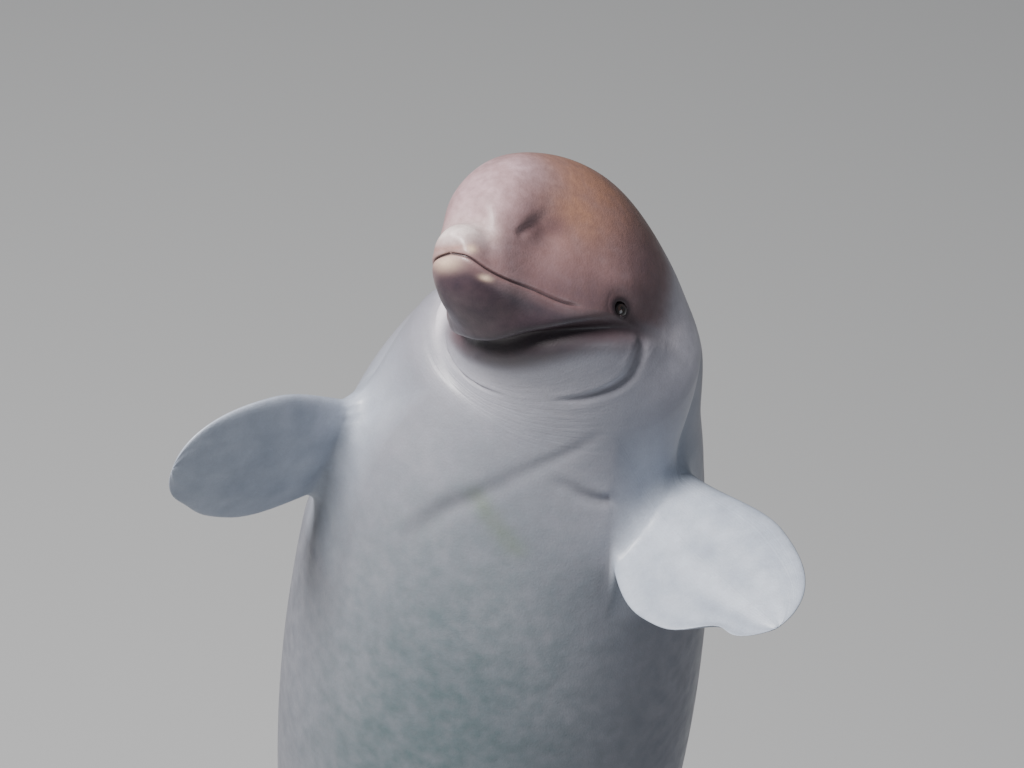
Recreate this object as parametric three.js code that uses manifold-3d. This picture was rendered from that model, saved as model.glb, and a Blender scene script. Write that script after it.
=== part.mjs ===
// A life-size museum model of an adult beluga whale, upright as when it looks out of the water,
// with its head turned to its right. It hangs over a flat base on two short rods.
// Millimetres, +Z up, the belly faces -Y, and the origin is at the middle of the underside of the base.
//
// The whale is first described at rest, lying straight: x runs back from the tip of the mouth,
// y runs to its right and z runs to its back. Then the spine bends it into the pose.
import * as THREE from 'three';
import { mergeVertices } from 'three/addons/utils/BufferGeometryUtils.js';
import Module from 'manifold-3d';

const wasm = await Module();
wasm.setup();

// Driving dimensions of the pose
const GAP = 0.3; // between touching pieces
const MOUTH_TIP = [-42, -149, 4122]; // where the tip of the mouth is in the finished model
const HEAD_TURN = 55.3; // degrees, to the whale's right
const HEAD_RISE = 46; // degrees above level
const HEAD_ROLL = 36.9; // degrees, crown towards its right
const TRUNK_TURN = 18; // degrees, belly towards its right
const SHOULDER_LEAN = [20, -10]; // degrees: sideways towards +X, and back towards +Y
const TRUNK_LEAN = [6, 2];
const TAIL_CURL = 34; // degrees, towards the belly
const NECK_BEND = [240, 660]; // stretches of the spine that bend
const SHOULDER_BEND = [500, 1000];
const TAIL_BEND = [1700, 3700];
const BEND_EASE = 0.3; // share of a stretch over which its bend sets in

// Stations of the head. Each row: station, side line x, z and half width, crown line x, z,
// keel line x, z, and the fullness of the section above and below the side line.
// The side line is the line of the mouth up to its corner at MOUTH_CORNER.
const MOUTH_CORNER = 5.2;
const HEAD_STATIONS = [
  [0, 0, 0, 0, 0, 0, 0, 0, 2, 2],
  [0.5, 3, -6, 31, -6, 19, 3, -16, 2, 2.2],
  [1, 11, -11, 47, -9, 41, 12, -34, 2.1, 2.2],
  [1.5, 25, -18, 58, 10, 65, 24, -53, 2.15, 2.1],
  [2, 43, -25, 67, 42, 83, 38, -70, 2.15, 2.1],
  [3, 88, -35, 89, 50, 150, 90, -104, 2.2, 2],
  [4, 150, -38, 112, 103, 238, 160, -132, 2.6, 2],
  [5, 225, -50, 157, 195, 296, 249, -156, 2.4, 2],
  [6, 330, -36, 209, 349, 325, 345, -186, 2.4, 2],
  [7, 460, -12, 264, 474, 290, 465, -220, 2.2, 2],
];

// Stations of the trunk: x, centre height, half width, height of the back, depth of the belly
const STATION_STEP = 140; // length of trunk that one station number stands for
const TRUNK_STATIONS = [
  [620, 0, 325, 268, -262],
  [800, -5, 405, 318, -328],
  [1050, -10, 462, 368, -392],
  [1350, -15, 488, 398, -432],
  [1700, -15, 490, 408, -448],
  [2100, -10, 458, 398, -425],
  [2550, 0, 378, 352, -358],
  [3000, 10, 262, 272, -258],
  [3400, 12, 152, 190, -170],
  [3700, 10, 88, 132, -114],
  [3900, 6, 60, 88, -78],
];
const HEAD_END = HEAD_STATIONS.at(-1);
const STATIONS = [
  ...HEAD_STATIONS,
  ...TRUNK_STATIONS.map(([x, centre, half, back, belly]) => [
    HEAD_END[0] + (x - HEAD_END[1]) / STATION_STEP, x, centre, half, x, back, x, belly, 2, 2,
  ]),
];
const stationAt = (x) => HEAD_END[0] + (x - HEAD_END[1]) / STATION_STEP;

// Where the body is parted, by distance back from the mouth
const PARTS = [
  ['neck', 500, 690],
  ['chest', 690, 1400],
  ['belly', 1400, 2100],
  ['loin', 2100, 2900],
  ['tail_stock', 2900, 3840],
];
const RING_STEP = 80; // distance between rings of the trunk

// Angles of the section's points in the quarter from the side line to the crown, then all round
const QUARTER = [0, 0.05, 0.13, 0.26, 0.44, 0.65, 0.88, 1.12, 1.37];
const AROUND = [0, 1, 2, 3].flatMap((quarter) =>
  quarter % 2 === 0
    ? QUARTER.map((a) => a + (quarter * Math.PI) / 2)
    : [Math.PI / 2, ...QUARTER.slice(1).reverse()].map((a, k) =>
        k === 0 ? (quarter * Math.PI) / 2 : Math.PI / 2 - a + (quarter * Math.PI) / 2),
);
const MID = AROUND.length / 2; // index of the left side line

// Soft forms that stand on or sink into the skin: centre x, distance from the middle, z,
// their three radii and their height. They lie on both sides, apart from those whose distance
// is negative, which lie on the left alone.
const FORMS = {
  melonSide: [100, 78, 140, 75, 50, 75, 13],
  melonHollow: [158, 128, 86, 50, 30, 38, -14],
  cheek: [225, 160, 10, 85, 50, 50, 8],
  brow: [325, 200, 35, 60, 40, 30, 7],
  eyeHollow: [336, 205, -12, 34, 50, 28, -6],
  blowholeMound: [425, 0, 290, 60, 60, 60, 9],
  beakSide: [50, 62, 38, 40, 34, 34, 7],
  leftShoulder: [620, -300, 50, 220, 170, 220, 45],
};
// The fold between jaw and throat. Rows of its line: the angle from the keel, x and depth.
const JAW_FOLD = {
  line: [
    [-2.3, 485, 0], [-1.9, 445, 6], [-1.66, 400, 12], [-1.45, 335, 22], [-1.2, 281, 29],
    [-0.8, 234, 32], [0, 212, 32], [0.8, 234, 32], [1.2, 281, 29], [1.45, 335, 22],
    [1.66, 400, 12], [1.9, 445, 6], [2.3, 485, 0],
  ],
  width: 26,
};
const LIP = {
  rise: 3, groove: 5, angle: 0.19, width: 0.1, grooveWidth: 0.05, setsIn: [0.2, 1], diesAway: 0.3,
};
const DORSAL_RIDGE = { from: 1800, to: 3050, height: 14, width: 0.16, bumps: 9 };

const smoothstep = (x, a, b) => {
  const s = Math.min(1, Math.max(0, (x - a) / (b - a)));
  return s * s * (3 - 2 * s);
};

// From 0 to 1 with a rate that sets in, stays level and dies away
function ramp(x, [a, b]) {
  const e = BEND_EASE;
  const s = Math.min(1, Math.max(0, (x - a) / (b - a)));
  const k = 1 / (2 * e * (1 - e));
  if (s < e) return k * s * s;
  if (s > 1 - e) return 1 - k * (1 - s) ** 2;
  return k * e * e + (s - e) / (1 - e);
}

// A smooth curve through the rows of a table, whose first column is the parameter
function throughRows(rows, t) {
  let k = rows.findIndex((row, i) => i > 0 && t <= row[0]) - 1;
  if (k < 0) k = t <= rows[0][0] ? 0 : rows.length - 2;
  const slope = (i, c) => {
    const a = rows[Math.max(0, i - 1)];
    const b = rows[i];
    const d = rows[Math.min(rows.length - 1, i + 1)];
    if (a === b) return (d[c] - b[c]) / (d[0] - b[0]);
    if (b === d) return (b[c] - a[c]) / (b[0] - a[0]);
    const before = b[0] - a[0];
    const after = d[0] - b[0];
    const rise = ((b[c] - a[c]) / before) * after + ((d[c] - b[c]) / after) * before;
    return rise / (before + after);
  };
  const h = rows[k + 1][0] - rows[k][0];
  const s = (t - rows[k][0]) / h;
  return rows[k].slice(1).map((value, i) => {
    const c = i + 1;
    return (2 * s ** 3 - 3 * s ** 2 + 1) * value + (s ** 3 - 2 * s ** 2 + s) * h * slope(k, c)
      + (3 * s ** 2 - 2 * s ** 3) * rows[k + 1][c] + (s ** 3 - s ** 2) * h * slope(k + 1, c);
  });
}

// The plain surface at rest. From the side line a superellipse arches up to the crown line
// and down to the keel line. Angle 0 is the right side, a quarter turn is the crown.
function plainPoint(t, angle) {
  const [sideX, sideZ, half, crownX, crownZ, keelX, keelZ, above, below] = throughRows(STATIONS, t);
  const c = Math.cos(angle);
  const s = Math.sin(angle);
  const up = s >= 0;
  const power = 2 / (up ? above : below);
  const h = Math.abs(s) < 1e-9 ? 0 : Math.abs(s) ** power;
  const lateral = Math.abs(c) < 1e-9 ? 0 : Math.sign(c) * Math.abs(c) ** power * half;
  return new THREE.Vector3(
    sideX + ((up ? crownX : keelX) - sideX) * h,
    lateral,
    sideZ + ((up ? crownZ : keelZ) - sideZ) * h,
  );
}

const MOUTH_TIP_END = 0.01; // stations nearer to the tip of the mouth than this count as the tip
const NORMAL_STEP = 0.02; // in stations and in radians
function plainNormal(t, angle) {
  const at = Math.max(MOUTH_TIP_END, t);
  const before = Math.max(MOUTH_TIP_END, t - NORMAL_STEP);
  const along = plainPoint(t + NORMAL_STEP, angle).sub(plainPoint(before, angle));
  const round = plainPoint(at, angle + NORMAL_STEP).sub(plainPoint(at, angle - NORMAL_STEP));
  return along.cross(round).normalize().negate();
}

// How far the soft forms, the lips and the ridge of the back move the skin
function relief(t, angle, p) {
  let rise = -jawFold(angle, p.x);
  for (const [x, y, z, rx, ry, rz, height] of Object.values(FORMS)) {
    const across = y < 0 ? p.y : Math.abs(p.y);
    const far = ((p.x - x) / rx) ** 2 + ((across - y) / ry) ** 2 + ((p.z - z) / rz) ** 2;
    rise += height * Math.exp(-far);
  }
  const fromSide = Math.min(angle, Math.abs(Math.PI - angle), 2 * Math.PI - angle);
  const inMouth = smoothstep(t, ...LIP.setsIn)
    * (1 - smoothstep(t, MOUTH_CORNER - LIP.diesAway, MOUTH_CORNER + LIP.diesAway));
  rise += inMouth * LIP.rise * Math.exp(-(((fromSide - LIP.angle) / LIP.width) ** 2));
  rise -= inMouth * LIP.groove * Math.exp(-((fromSide / LIP.grooveWidth) ** 2));
  const { from, to, height, width, bumps } = DORSAL_RIDGE;
  const share = (p.x - from) / (to - from);
  if (share > 0 && share < 1) {
    const wave = 0.8 + 0.2 * Math.cos(share * bumps * 2 * Math.PI);
    const fromCrown = Math.abs(angle - Math.PI / 2);
    rise += height * Math.sin(Math.PI * share) ** 0.5 * wave * Math.exp(-((fromCrown / width) ** 2));
  }
  return rise;
}

function jawFold(angle, x) {
  const { line, width } = JAW_FOLD;
  const fromKeel = Math.atan2(Math.cos(angle), -Math.sin(angle));
  if (Math.abs(fromKeel) > line.at(-1)[0]) return 0;
  const [middle, depth] = throughRows(line, fromKeel);
  return depth * Math.exp(-(((x - middle) / width) ** 2));
}

function skinPoint(t, angle, grow = 0) {
  const p = plainPoint(t, angle);
  if (t < MOUTH_TIP_END) return p;
  return p.addScaledVector(plainNormal(t, angle), relief(t, angle, p) + grow);
}

// Turns of the head, the shoulders and the trunk: columns point back, to the right and up the back
const degrees = THREE.MathUtils.degToRad;
function turnOf(forward, up) {
  const f = forward.clone().normalize();
  const u = up.clone().addScaledVector(f, -up.dot(f)).normalize();
  const right = f.clone().cross(u);
  const turned = new THREE.Matrix4().makeBasis(f.negate(), right, u);
  return new THREE.Quaternion().setFromRotationMatrix(turned);
}
function headTurn() {
  const turn = degrees(HEAD_TURN);
  const rise = degrees(HEAD_RISE);
  const level = Math.cos(rise);
  const f = new THREE.Vector3(-Math.sin(turn) * level, -Math.cos(turn) * level, Math.sin(rise));
  const up = new THREE.Vector3(0, 0, 1).addScaledVector(f, -f.z).normalize();
  const right = f.clone().cross(up);
  const roll = degrees(HEAD_ROLL);
  return turnOf(f, up.multiplyScalar(Math.cos(roll)).addScaledVector(right, Math.sin(roll)));
}
function bodyTurn([side, back]) {
  const f = new THREE.Vector3(Math.sin(degrees(side)), Math.sin(degrees(back)), Math.cos(degrees(side)));
  const dorsal = new THREE.Vector3(Math.sin(degrees(TRUNK_TURN)), Math.cos(degrees(TRUNK_TURN)), 0);
  return turnOf(f, dorsal);
}
const HEAD = headTurn();
const SHOULDERS = bodyTurn(SHOULDER_LEAN);
const TRUNK = bodyTurn(TRUNK_LEAN);
const NECK_TURN = SHOULDERS.clone().invert().multiply(HEAD);
const SHOULDER_TURN = TRUNK.clone().invert().multiply(SHOULDERS);

function turnAt(x) {
  const none = new THREE.Quaternion();
  const tail = new THREE.Quaternion().setFromAxisAngle(
    new THREE.Vector3(0, 1, 0), degrees(TAIL_CURL) * smoothstep(x, ...TAIL_BEND));
  return TRUNK.clone()
    .multiply(none.clone().slerp(SHOULDER_TURN, 1 - ramp(x, SHOULDER_BEND)))
    .multiply(none.clone().slerp(NECK_TURN, 1 - ramp(x, NECK_BEND)))
    .multiply(tail);
}

// The spine, a chain of short steps from a little before the mouth to past the flukes
const SPINE_STEP = 5;
const SPINE_FROM = -100;
const SPINE = (() => {
  const links = [];
  const at = new THREE.Vector3();
  for (let k = 0; k <= 940; k += 1) {
    const turn = turnAt(SPINE_FROM + k * SPINE_STEP);
    links.push({ at: at.clone(), turn });
    const middle = turnAt(SPINE_FROM + (k + 0.5) * SPINE_STEP);
    at.add(new THREE.Vector3(SPINE_STEP, 0, 0).applyQuaternion(middle));
  }
  const start = links[-SPINE_FROM / SPINE_STEP].at.clone();
  const tip = new THREE.Vector3(...MOUTH_TIP);
  links.forEach((link) => link.at.sub(start).add(tip));
  return links;
})();

function spineAt(x) {
  const place = (x - SPINE_FROM) / SPINE_STEP;
  const k = Math.min(SPINE.length - 2, Math.max(0, Math.floor(place)));
  const share = place - k;
  return {
    at: SPINE[k].at.clone().lerp(SPINE[k + 1].at, share),
    turn: SPINE[k].turn.clone().slerp(SPINE[k + 1].turn, share),
  };
}

function posed(p) {
  const { at, turn } = spineAt(p.x);
  return new THREE.Vector3(0, p.y, p.z).applyQuaternion(turn).add(at);
}

function framedMatrix(x) {
  const { at, turn } = spineAt(x);
  const matrix = new THREE.Matrix4().compose(at, turn, new THREE.Vector3(1, 1, 1));
  return matrix.multiply(new THREE.Matrix4().makeTranslation(-x, 0, 0));
}

// A closed mesh from rings of points, ended by a point or by the ring's own middle.
// Both faces of a thin piece are split alike, so that they never cross. The turned strip is split
// the other way, where a wall has to match the wall of its neighbour.
function loft(rings, firstPoint, lastPoint, turnedStrip) {
  const count = rings[0].length;
  const middle = (ring) => ring.reduce((sum, p) => sum.add(p), new THREE.Vector3()).divideScalar(count);
  const points = rings.flat();
  const first = points.push(firstPoint ?? middle(rings[0])) - 1;
  const last = points.push(lastPoint ?? middle(rings.at(-1))) - 1;
  const triangles = [];
  rings.forEach((ring, i) => {
    for (let j = 0; j < count; j += 1) {
      const next = (j + 1) % count;
      const a = i * count + j;
      const b = i * count + next;
      if (i === 0) triangles.push([first, b, a]);
      if (i === rings.length - 1) {
        triangles.push([last, a, b]);
      } else if ((j < count / 2) !== (i === turnedStrip)) {
        triangles.push([a, b, b + count], [a, b + count, a + count]);
      } else {
        triangles.push([a, b, a + count], [b, b + count, a + count]);
      }
    }
  });
  return closedMesh(points, triangles);
}

// Merges points that coincide, drops triangles with no area and turns the faces outwards
const SAME_POINT = 1e-3;
function closedMesh(points, triangles) {
  const loose = new THREE.BufferGeometry();
  loose.setAttribute('position', new THREE.Float32BufferAttribute(points.flatMap((p) => p.toArray()), 3));
  loose.setIndex(triangles.flat());
  const merged = mergeVertices(loose, SAME_POINT);
  const index = merged.index.array;
  const kept = [];
  for (let k = 0; k < index.length; k += 3) {
    const [a, b, c] = [index[k], index[k + 1], index[k + 2]];
    if (a !== b && b !== c && c !== a) kept.push([a, b, c]);
  }
  const at = (k) => new THREE.Vector3().fromBufferAttribute(merged.attributes.position, k);
  const volume = kept.reduce((sum, [a, b, c]) => sum + at(a).dot(at(b).cross(at(c))), 0);
  merged.setIndex((volume < 0 ? kept.map(([a, b, c]) => [a, c, b]) : kept).flat());
  return merged;
}

const solid = (geometry) => new wasm.Manifold(new wasm.Mesh({
  numProp: 3,
  vertProperties: new Float32Array(geometry.attributes.position.array),
  triVerts: new Uint32Array(geometry.index.array),
}));

const piecesOf = (body) => body.decompose().sort((a, b) => b.volume() - a.volume());

function geometryOf(body) {
  const { vertProperties, triVerts } = piecesOf(body)[0].getMesh();
  const geometry = new THREE.BufferGeometry();
  geometry.setAttribute('position', new THREE.BufferAttribute(new Float32Array(vertProperties), 3));
  geometry.setIndex(new THREE.BufferAttribute(new Uint32Array(triVerts), 1));
  return geometry;
}

// A three.js primitive without its seams, moved by a matrix
function plainSolid(geometry, matrix) {
  const bare = geometry.clone().applyMatrix4(matrix);
  bare.deleteAttribute('normal');
  bare.deleteAttribute('uv');
  const place = bare.attributes.position;
  const points = Array.from({ length: place.count }, (_, k) =>
    new THREE.Vector3().fromBufferAttribute(place, k));
  const index = bare.index ? [...bare.index.array] : [...points.keys()];
  return solid(closedMesh(points, index));
}

// A ring of the body at a distance from the mouth, grown outwards or shifted back if asked
const ringAt = (x, grow = 0, shift = 0) => {
  const back = new THREE.Vector3(1, 0, 0).applyQuaternion(spineAt(x).turn);
  return AROUND.map((angle) => {
    const p = skinPoint(stationAt(x), angle, grow);
    p.x = x;
    return posed(p).addScaledVector(back, shift);
  });
};
const placesOf = (from, to) => {
  const steps = Math.max(2, Math.round((to - from) / RING_STEP));
  return Array.from({ length: steps + 1 }, (_, k) => from + ((to - from) * k) / steps);
};
function trunkLength(from, to) {
  const drawnIn = (x) => (x === from ? GAP / 2 : x === to ? -GAP / 2 : 0);
  return loft(placesOf(from, to).map((x) => ringAt(x, 0, drawnIn(x))));
}
// The whole trunk on the same rings, grown by the gap, to cut what meets it
function grownTrunk() {
  const places = [...new Set(PARTS.flatMap(([, from, to]) => placesOf(from, to)))];
  return solid(loft(places.map((x) => ringAt(x, GAP))));
}

// The head in two solids, parted along the line of the mouth. Before the corner of the mouth
// one half of each ring lies flat on the line that joins the two sides of the mouth.
const HEAD_RINGS = [
  0.2, 0.5, 0.8, 1.15, 1.5, 2, 2.5, 3, 3.5, 4, 4.3, 4.55, 4.8, 5, MOUTH_CORNER,
];
const NAPE_RINGS = [5.4, 5.7, 6, 6.3, 6.65, 7];
const JAW_ENDS = 0.008; // stations by which the jaw ends before the corner
function headRing(t, flatHalf, shift = 0) {
  const right = skinPoint(t, 0);
  const left = skinPoint(t, Math.PI);
  return AROUND.map((angle, j) => {
    const upper = j <= MID;
    const onLine = (flatHalf === 'both' || (flatHalf === 'upper') === upper) && j !== 0 && j !== MID;
    const share = (1 - Math.cos(AROUND[upper ? j : AROUND.length - j])) / 2;
    const p = onLine ? right.clone().lerp(left, share) : skinPoint(t, angle);
    p.z += shift;
    return posed(p);
  });
}
function upperHead() {
  const rings = HEAD_RINGS.map((t) => headRing(t, 'lower', GAP / 2));
  const full = (t) => AROUND.map((angle, j) => {
    const p = skinPoint(t, angle);
    if (t === MOUTH_CORNER && j <= MID) p.z += GAP / 2;
    return posed(p);
  });
  rings.push(full(MOUTH_CORNER));
  NAPE_RINGS.forEach((t) => rings.push(full(t)));
  rings.push(ringAt(PARTS[0][1], 0, -GAP / 2));
  const tip = new THREE.Vector3(0, 0, GAP / 2);
  return solid(loft(rings, posed(tip)));
}
function lowerJaw() {
  const last = MOUTH_CORNER - JAW_ENDS;
  const rings = [...HEAD_RINGS.slice(0, -1), last].map((t) => headRing(t, 'upper', -GAP / 2));
  const back = headRing(last, 'both', -GAP / 2);
  rings.push(back);
  const tip = new THREE.Vector3(0, 0, -GAP / 2);
  return loft(rings, posed(tip), back[QUARTER.length].clone(), rings.length - 2);
}

// Eyes: a ball sunk in the head, ringed by lids, which are a bent ring of round section
const EYE = {
  station: 5.98, drop: 0.03, ball: 21.5, depth: 15, ballSides: 16, ballRows: 10,
  lidWide: 22, lidHigh: 17.5, lidRound: 6, lidSink: 1, lidSteps: 20, lidSides: 8,
};
function eyeFrame(side) {
  const angle = side === 'left' ? Math.PI - EYE.drop : EYE.drop;
  const at = posed(skinPoint(EYE.station, angle));
  const toward = posed(skinPoint(EYE.station, angle, 10)).sub(at).normalize();
  const { turn } = spineAt(plainPoint(EYE.station, angle).x);
  const forward = new THREE.Vector3(-1, 0, 0).applyQuaternion(turn);
  const along = forward.addScaledVector(toward, -forward.dot(toward)).normalize();
  const up = toward.clone().cross(along);
  return new THREE.Matrix4().makeBasis(along, up, toward).setPosition(at);
}
function eyeBall(side, radius) {
  const at = eyeFrame(side).multiply(new THREE.Matrix4().makeTranslation(0, 0, -EYE.depth));
  return plainSolid(new THREE.SphereGeometry(radius, EYE.ballSides, EYE.ballRows), at);
}
function lids(side) {
  const frame = eyeFrame(side);
  const rings = Array.from({ length: EYE.lidSteps }, (_, k) => {
    const a = (k / EYE.lidSteps) * 2 * Math.PI;
    const out = new THREE.Vector3(Math.cos(a), Math.sin(a), 0);
    return Array.from({ length: EYE.lidSides }, (_unused, m) => {
      const b = (m / EYE.lidSides) * 2 * Math.PI;
      const p = new THREE.Vector3(EYE.lidWide * out.x, EYE.lidHigh * out.y, 0)
        .addScaledVector(out, EYE.lidRound * Math.cos(b));
      p.z = EYE.lidRound * Math.sin(b) - EYE.lidSink;
      return p.applyMatrix4(frame);
    });
  });
  const number = (i, j) => (i % EYE.lidSteps) * EYE.lidSides + (j % EYE.lidSides);
  const triangles = rings.flatMap((ring, i) => ring.flatMap((_, j) => [
    [number(i, j), number(i, j + 1), number(i + 1, j + 1)],
    [number(i, j), number(i + 1, j + 1), number(i + 1, j)],
  ]));
  return solid(closedMesh(rings.flat(), triangles));
}

// The blowhole, a crescent groove with its hollow side forward
const BLOWHOLE = {
  x: 438, radius: 36, spread: 62, groove: 6, deep: 1.6, tapers: 1.3, thinnest: 0.25,
  steps: 10, sides: 6,
};
function blowhole() {
  const spread = degrees(BLOWHOLE.spread);
  const rings = Array.from({ length: BLOWHOLE.steps + 1 }, (_, k) => {
    const a = spread * ((2 * k) / BLOWHOLE.steps - 1);
    const taper = Math.cos((a / spread) * BLOWHOLE.tapers);
    const thick = BLOWHOLE.groove * Math.max(BLOWHOLE.thinnest, taper);
    const x = BLOWHOLE.x + BLOWHOLE.radius * (Math.cos(a) - 1);
    const y = BLOWHOLE.radius * Math.sin(a);
    const crown = throughRows(STATIONS, stationAt(x))[4];
    return Array.from({ length: BLOWHOLE.sides }, (_unused, m) => {
      const b = (m / BLOWHOLE.sides) * 2 * Math.PI;
      const r = thick * Math.cos(b);
      const z = crown + thick * BLOWHOLE.deep * Math.sin(b);
      return posed(new THREE.Vector3(x + r * Math.cos(a), y + r * Math.sin(a), z));
    });
  });
  return solid(loft(rings));
}

// The melon is parted from the head by a thin cut that rises from the crease above the mouth
const MELON_CUT = { front: [30, 84], back: [395, 320], size: 900 };
function melonCut() {
  const [x0, z0] = MELON_CUT.front;
  const [x1, z1] = MELON_CUT.back;
  const tilt = Math.atan2(z1 - z0, x1 - x0);
  const matrix = framedMatrix(NECK_BEND[0])
    .multiply(new THREE.Matrix4().makeTranslation((x0 + x1) / 2, 0, (z0 + z1) / 2))
    .multiply(new THREE.Matrix4().makeRotationY(-tilt));
  return plainSolid(new THREE.BoxGeometry(MELON_CUT.size, MELON_CUT.size, GAP), matrix);
}

// The flukes. Rings fan out from the tail stock: the ends of each ring run along the leading edge
// to the tip and back along the trailing edge to the notch, its middle along the centre line.
// Rows of an edge: parameter, x, distance from the middle. Rows of the core, by which the tail
// stock runs out into the blades: x, half width and half height.
const TIP = [4360, 520];
const NOTCH = 4300;
const LEADING_EDGE = [
  [0, 3900, 60], [0.2, 3965, 92], [0.4, 4055, 200], [0.6, 4165, 345], [0.8, 4285, 475], [1, ...TIP],
];
const TRAILING_EDGE = [
  [1, ...TIP], [1.17, 4405, 508], [1.33, 4430, 400], [1.5, 4425, 270],
  [1.67, 4385, 130], [1.83, 4335, 45], [2, NOTCH, 0],
];
const STOCK_CORE = [[3700, 88, 123], [3900, 60, 83], [4050, 45, 50], [4200, 30, 22], [NOTCH, 20, 3]];
const FLUKE = { thick: 62, thinning: 0.75, centre: 5, fanPower: 1.3 };
const FLUKE_RINGS = [0, 0.12, 0.25, 0.4, 0.55, 0.7, 0.85, 1, 1.1, 1.2, 1.35, 1.5, 1.65, 1.8, 1.92];
function edgeX(edge, y) {
  const outward = edge[0][2] < edge.at(-1)[2] ? edge : [...edge].reverse();
  const k = Math.max(1, outward.findIndex((row) => row[2] >= y));
  const [a, b] = [outward[k - 1], outward[k]];
  return a[1] + ((b[1] - a[1]) * Math.max(0, y - a[2])) / (b[2] - a[2]);
}
function flukeRing(u) {
  const [endX, endY] = u <= 1 ? throughRows(LEADING_EDGE, u) : throughRows(TRAILING_EDGE, u);
  const start = LEADING_EDGE[0][1];
  const middleX = start + (NOTCH - start) * (u / 2) ** 0.8;
  return AROUND.map((angle) => {
    const c = Math.cos(angle);
    const x = middleX + (endX - middleX) * Math.abs(c) ** FLUKE.fanPower;
    const y = endY * c;
    const out = Math.min(Math.abs(y), TIP[1] - 1);
    const widestTrailing = TRAILING_EDGE[1][2];
    const front = edgeX(LEADING_EDGE, out);
    const rear = edgeX(TRAILING_EDGE.slice(1), Math.min(out, widestTrailing - 1));
    const chord = Math.min(1, Math.max(0, (x - front) / Math.max(1, rear - front)));
    const full = FLUKE.thick * (1 - (FLUKE.thinning * out) / TIP[1]);
    const blade = full * Math.sqrt(chord) * (1 - chord) ** 0.8;
    const [coreWide, coreHigh] = throughRows(STOCK_CORE, Math.min(x, NOTCH));
    const core = coreHigh * Math.sqrt(Math.max(0, 1 - (y / coreWide) ** 2));
    const onEdge = Math.abs(Math.sin(angle)) < 1e-9;
    const height = onEdge ? 0 : Math.cbrt(blade ** 3 + core ** 3) * Math.sign(Math.sin(angle));
    return posed(new THREE.Vector3(x, y, height + FLUKE.centre));
  });
}
function flukes() {
  const rings = [ringAt(PARTS.at(-1)[2], 0, GAP / 2), ...FLUKE_RINGS.map(flukeRing)];
  const whole = solid(loft(rings, undefined, posed(new THREE.Vector3(NOTCH, 0, FLUKE.centre))));
  const matrix = framedMatrix(TAIL_BEND[1]).multiply(new THREE.Matrix4().makeTranslation(NOTCH, 0, 0));
  const cut = plainSolid(new THREE.BoxGeometry(4 * TIP[1], GAP, 2 * TIP[1]), matrix);
  const [one, other] = piecesOf(whole.subtract(cut));
  const middleX = (body) => body.boundingBox().min[0] + body.boundingBox().max[0];
  return middleX(one) > middleX(other) ? { left: one, right: other } : { left: other, right: one };
}

// Flippers: rounded paddles that grow out of the lower side of the chest, held forward. The root is
// sunk in the chest by a share of its depth. The span and the leading edge are directions in the
// finished model. The middle line of the paddle starts behind its root and sweeps forward. The
// trailing edge is curled and has a shallow notch near the tip.
const FLIPPER = {
  length: 550, root: 115, wide: 190, widest: 0.6, thick: 42, thinning: 0.7, fullEdge: 0.25,
  setBack: 30, sunk: 0.2, roundTip: 4.3, roundEdge: 6, rings: 13, sides: 20,
  notchAt: 0.86, notchWide: 0.075,
};
const FLIPPERS = {
  right: {
    back: 872, angle: -0.26, span: [-0.77, -0.58, 0.27], lead: [0.3, 0.05, 0.95],
    curl: 20, sweep: 40, notch: 10,
  },
  left: {
    back: 770, angle: Math.PI + 0.2, span: [0.4, -0.91, 0.02], lead: [0.83, 0.37, 0.42],
    curl: 50, sweep: 72, notch: 45,
  },
};
function flipper({ back, angle, span, lead, curl, sweep, notch }) {
  const surface = plainPoint(stationAt(back), angle);
  const inward = 1 - FLIPPER.sunk;
  const root = posed(new THREE.Vector3(back, surface.y * inward, surface.z * inward));
  const out = new THREE.Vector3(...span).normalize();
  const ahead = new THREE.Vector3(...lead);
  ahead.addScaledVector(out, -out.dot(ahead)).normalize();
  const across = out.clone().cross(ahead);
  const middleLine = (s) => sweep * s * s - FLIPPER.setBack;
  const rings = Array.from({ length: FLIPPER.rings }, (_, k) => {
    const s = Math.sin(((k / FLIPPER.rings) * Math.PI) / 2);
    const full = FLIPPER.root + (FLIPPER.wide - FLIPPER.root) * smoothstep(s, 0, FLIPPER.widest);
    const closing = Math.sqrt(1 - s ** FLIPPER.roundTip);
    const notched = notch * Math.exp(-(((s - FLIPPER.notchAt) / FLIPPER.notchWide) ** 2));
    const thick = FLIPPER.thick * (1 - FLIPPER.thinning * s) * Math.sqrt(1 - s ** FLIPPER.roundEdge);
    return Array.from({ length: FLIPPER.sides }, (_unused, j) => {
      const a = (j / FLIPPER.sides) * 2 * Math.PI;
      const c = Math.cos(a);
      const rear = Math.max(0, -c) ** 2;
      const bend = curl * closing * rear * s ** 1.5;
      return root.clone().addScaledVector(out, s * FLIPPER.length)
        .addScaledVector(ahead, middleLine(s) + full * closing * c + notched * rear)
        .addScaledVector(across, thick * Math.sin(a) * (1 + FLIPPER.fullEdge * c) + bend);
    });
  });
  const tip = root.clone().addScaledVector(out, FLIPPER.length).addScaledVector(ahead, middleLine(1));
  return solid(loft(rings, undefined, tip));
}

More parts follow.
